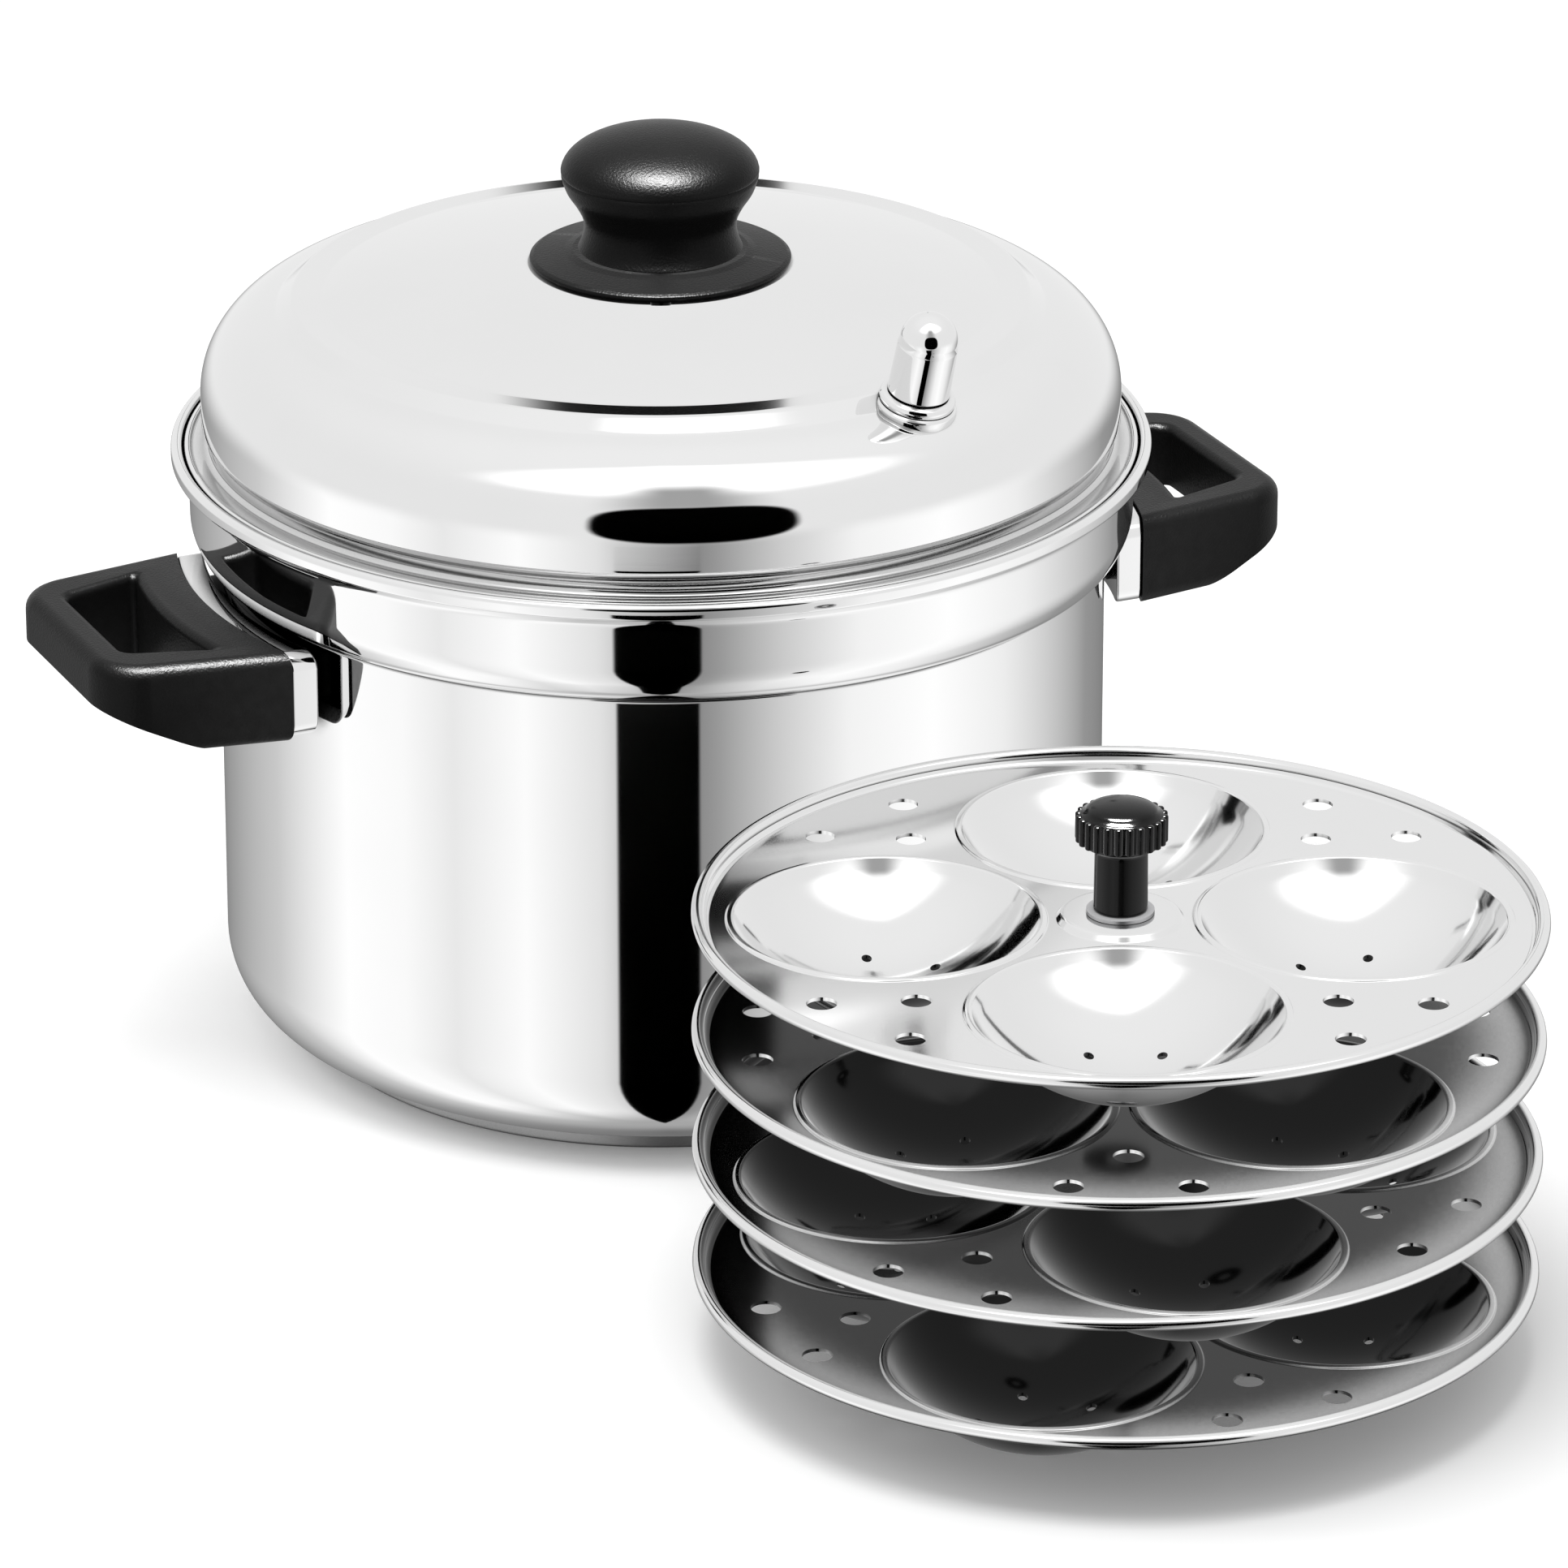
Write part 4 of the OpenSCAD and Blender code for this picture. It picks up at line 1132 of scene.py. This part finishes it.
soft_lamp("top_softbox", (-0.25, -0.35, 1.5), (0.8, 0.8), 12.0)
soft_lamp("left_softbox", (-1.3, 0.5, 1.0), (0.5, 0.9), 5.0)

# %% [markdown]
# ## A sheen on the black pieces
# Black plastic shows only the gloss of its round edges. The lamps above are too weak for that, and
# stronger ones would burn the floor out. So a third lamp gives gloss alone, and light linking keeps it
# to the black pieces, as a small card held close to them would.

# %% The sheen lamp
sheen = soft_lamp("handle_sheen", (-0.14, -0.34, 1.5), (0.9, 0.6), 420.0)
sheen.visible_diffuse = False
sheen.visible_glossy = True
black_pieces = bpy.data.collections.new("black_pieces")
for piece in bpy.data.objects:
    if any(slot.material in (SATIN_BLACK, GLOSSY_BLACK) for slot in piece.material_slots):
        black_pieces.objects.link(piece)
sheen.light_linking.receiver_collection = black_pieces

# %% [markdown]
# ## What the steel mirrors
# Polished steel shows only what stands round it. A studio could be built of real cards, but then they
# would stand in the way of the light and of other views. So it is drawn in the world, by azimuth and
# elevation: a bright sweep with darker far sides, a pale sky, soft cards overhead, and black flags that
# give the steel its edges. All is fixed in space, as real cards are, and only mirrors see it.

# %% World helpers
world = bpy.data.worlds.new("Studio")
bpy.context.scene.world = world
world.use_nodes = True
studio = world.node_tree
studio.nodes.clear()
direction = studio.nodes.new("ShaderNodeTexCoord").outputs["Generated"]


def towards(axis):
    """How far the direction points along an axis."""
    node = studio.nodes.new("ShaderNodeVectorMath")
    node.operation = "DOT_PRODUCT"
    studio.links.new(direction, node.inputs[0])
    node.inputs[1].default_value = axis
    return node.outputs["Value"]


def step_between(value, low, high):
    """0 below low, 1 above high, smooth between."""
    node = studio.nodes.new("ShaderNodeMapRange")
    node.interpolation_type = "SMOOTHSTEP"
    studio.links.new(value, node.inputs["Value"])
    node.inputs["From Min"].default_value = low
    node.inputs["From Max"].default_value = high
    return node.outputs["Result"]


def band(value, low, high, soft):
    """1 between low and high, and 0 outside, with soft edges."""
    return maths(studio, "MULTIPLY", step_between(value, low - soft, low + soft),
                 maths(studio, "SUBTRACT", 1.0, step_between(value, high - soft, high + soft)))


def blend_value(factor, a, b):
    """Goes from a to b with a factor."""
    node = studio.nodes.new("ShaderNodeMix")
    for label, value in (("Factor", factor), ("A", a), ("B", b)):
        feed(studio, node.inputs[label], value)
    return node.outputs["Result"]


# %% Azimuth from the photograph's side, and elevation, in degrees
DEGREE = 180 / math.pi
side_x, side_y = math.sin(math.radians(CAMERA_TURN)), -math.cos(math.radians(CAMERA_TURN))
nearer, right, up = towards((side_x, side_y, 0)), towards((-side_y, side_x, 0)), towards((0, 0, 1))
azimuth = maths(studio, "MULTIPLY", maths(studio, "ARCTAN2", right, nearer), DEGREE)
elevation = maths(studio, "MULTIPLY", maths(studio, "ARCSINE", up), DEGREE)

# %% The sweep
# Azimuth, and how light the steel looks there in percent: dim far sides, two bright sides, a soft dip
# on the left, and shade on both sides of the flag.
SWEEP = ((-180, 43), (-150, 62), (-120, 78), (-90, 100), (-70, 98), (-55, 91), (-35, 99), (-15, 88),
         (-10, 80), (10, 54), (15, 60), (30, 79), (50, 95), (75, 100), (100, 93), (145, 57), (180, 43))
STEEL_SHINE = 0.84


def as_light(level):
    """The light that makes the steel show this level, in percent."""
    c = level / 100
    return (c / 12.92 if c < 0.04045 else ((c + 0.055) / 1.055) ** 2.4) / STEEL_SHINE


ramp = studio.nodes.new("ShaderNodeValToRGB")
studio.links.new(maths(studio, "MULTIPLY_ADD", azimuth, 1 / 360, 0.5), ramp.inputs["Fac"])
stops = ramp.color_ramp.elements
while len(stops) > 1:
    stops.remove(stops[-1])
for i, (angle, level) in enumerate(SWEEP):
    stop = stops[0] if i == 0 else stops.new(angle / 360 + 0.5)
    stop.position = angle / 360 + 0.5
    light = as_light(level)
    stop.color = (light, light, light, 1)
sweep = ramp.outputs["Color"]
print("studio sweep:", len(stops), "stops")

# %% The sky, the floor's side and the cards
sky = blend_value(step_between(elevation, 20, 75), 0.93, 1.0)
level = blend_value(step_between(elevation, -21, -4), sweep, sky)
below = step_between(maths(studio, "MULTIPLY", elevation, -1.0), 62, 88)
level = blend_value(below, level, 0.45)

# Each card's azimuth from, to and softness, the same for its elevation, and its light.
CARDS = {"far flag, the arc on the lid's ledge": ((-180.1, -178.3, 0.25), (17.6, 21.6, 0.4), 0.01),
         "softbox, the light in the cups": ((-50, 75, 18), (48, 84, 9), 2.2),
         "grey card, the shade beside it": ((-9, 24, 12), (24, 60, 10), 0.42)}
for name, (across, along, light) in CARDS.items():
    card = maths(studio, "MULTIPLY", band(azimuth, *across), band(elevation, *along))
    level = blend_value(card, level, light)
    print(name)

# %% The black flags
# The lower one makes the dark column on the pot's wall, the upper one the lens on the lid's shoulder.
lower_flag = maths(studio, "MULTIPLY", band(azimuth, -11.0, 10.2, 0.5),
                   maths(studio, "SUBTRACT", 1.0, step_between(elevation, -21.15, -20.9)))
FLAG_MIDDLE, FLAG_HALF = (8.5, 6.0), (25.5, 23.5)
ROUNDNESS = 3.0
across, along = (
    maths(studio, "POWER", maths(studio, "ABSOLUTE", maths(
        studio, "MULTIPLY_ADD", angle, 1 / half, -middle / half)), ROUNDNESS)
    for angle, middle, half in zip((azimuth, elevation), FLAG_MIDDLE, FLAG_HALF))
upper_flag = maths(studio, "SUBTRACT", 1.0, step_between(maths(studio, "ADD", across, along), 0.85, 1.15))
level = blend_value(maths(studio, "MAXIMUM", lower_flag, upper_flag), level, 0.0)

# %% Who sees what
paths = studio.nodes.new("ShaderNodeLightPath")
seen = blend_value(paths.outputs["Is Glossy Ray"], 0.75, level)
seen = blend_value(paths.outputs["Is Camera Ray"], seen, 1.0)
backdrop = studio.nodes.new("ShaderNodeBackground")
backdrop.inputs["Color"].default_value = (1, 1, 1, 1)
studio.links.new(seen, backdrop.inputs["Strength"])
output = studio.nodes.new("ShaderNodeOutputWorld")
studio.links.new(backdrop.outputs["Background"], output.inputs["Surface"])

# %% [markdown]
# ## Colours at the end
# The Standard view shows colours as they are written.

# %% Colour management
bpy.context.scene.view_settings.view_transform = "Standard"
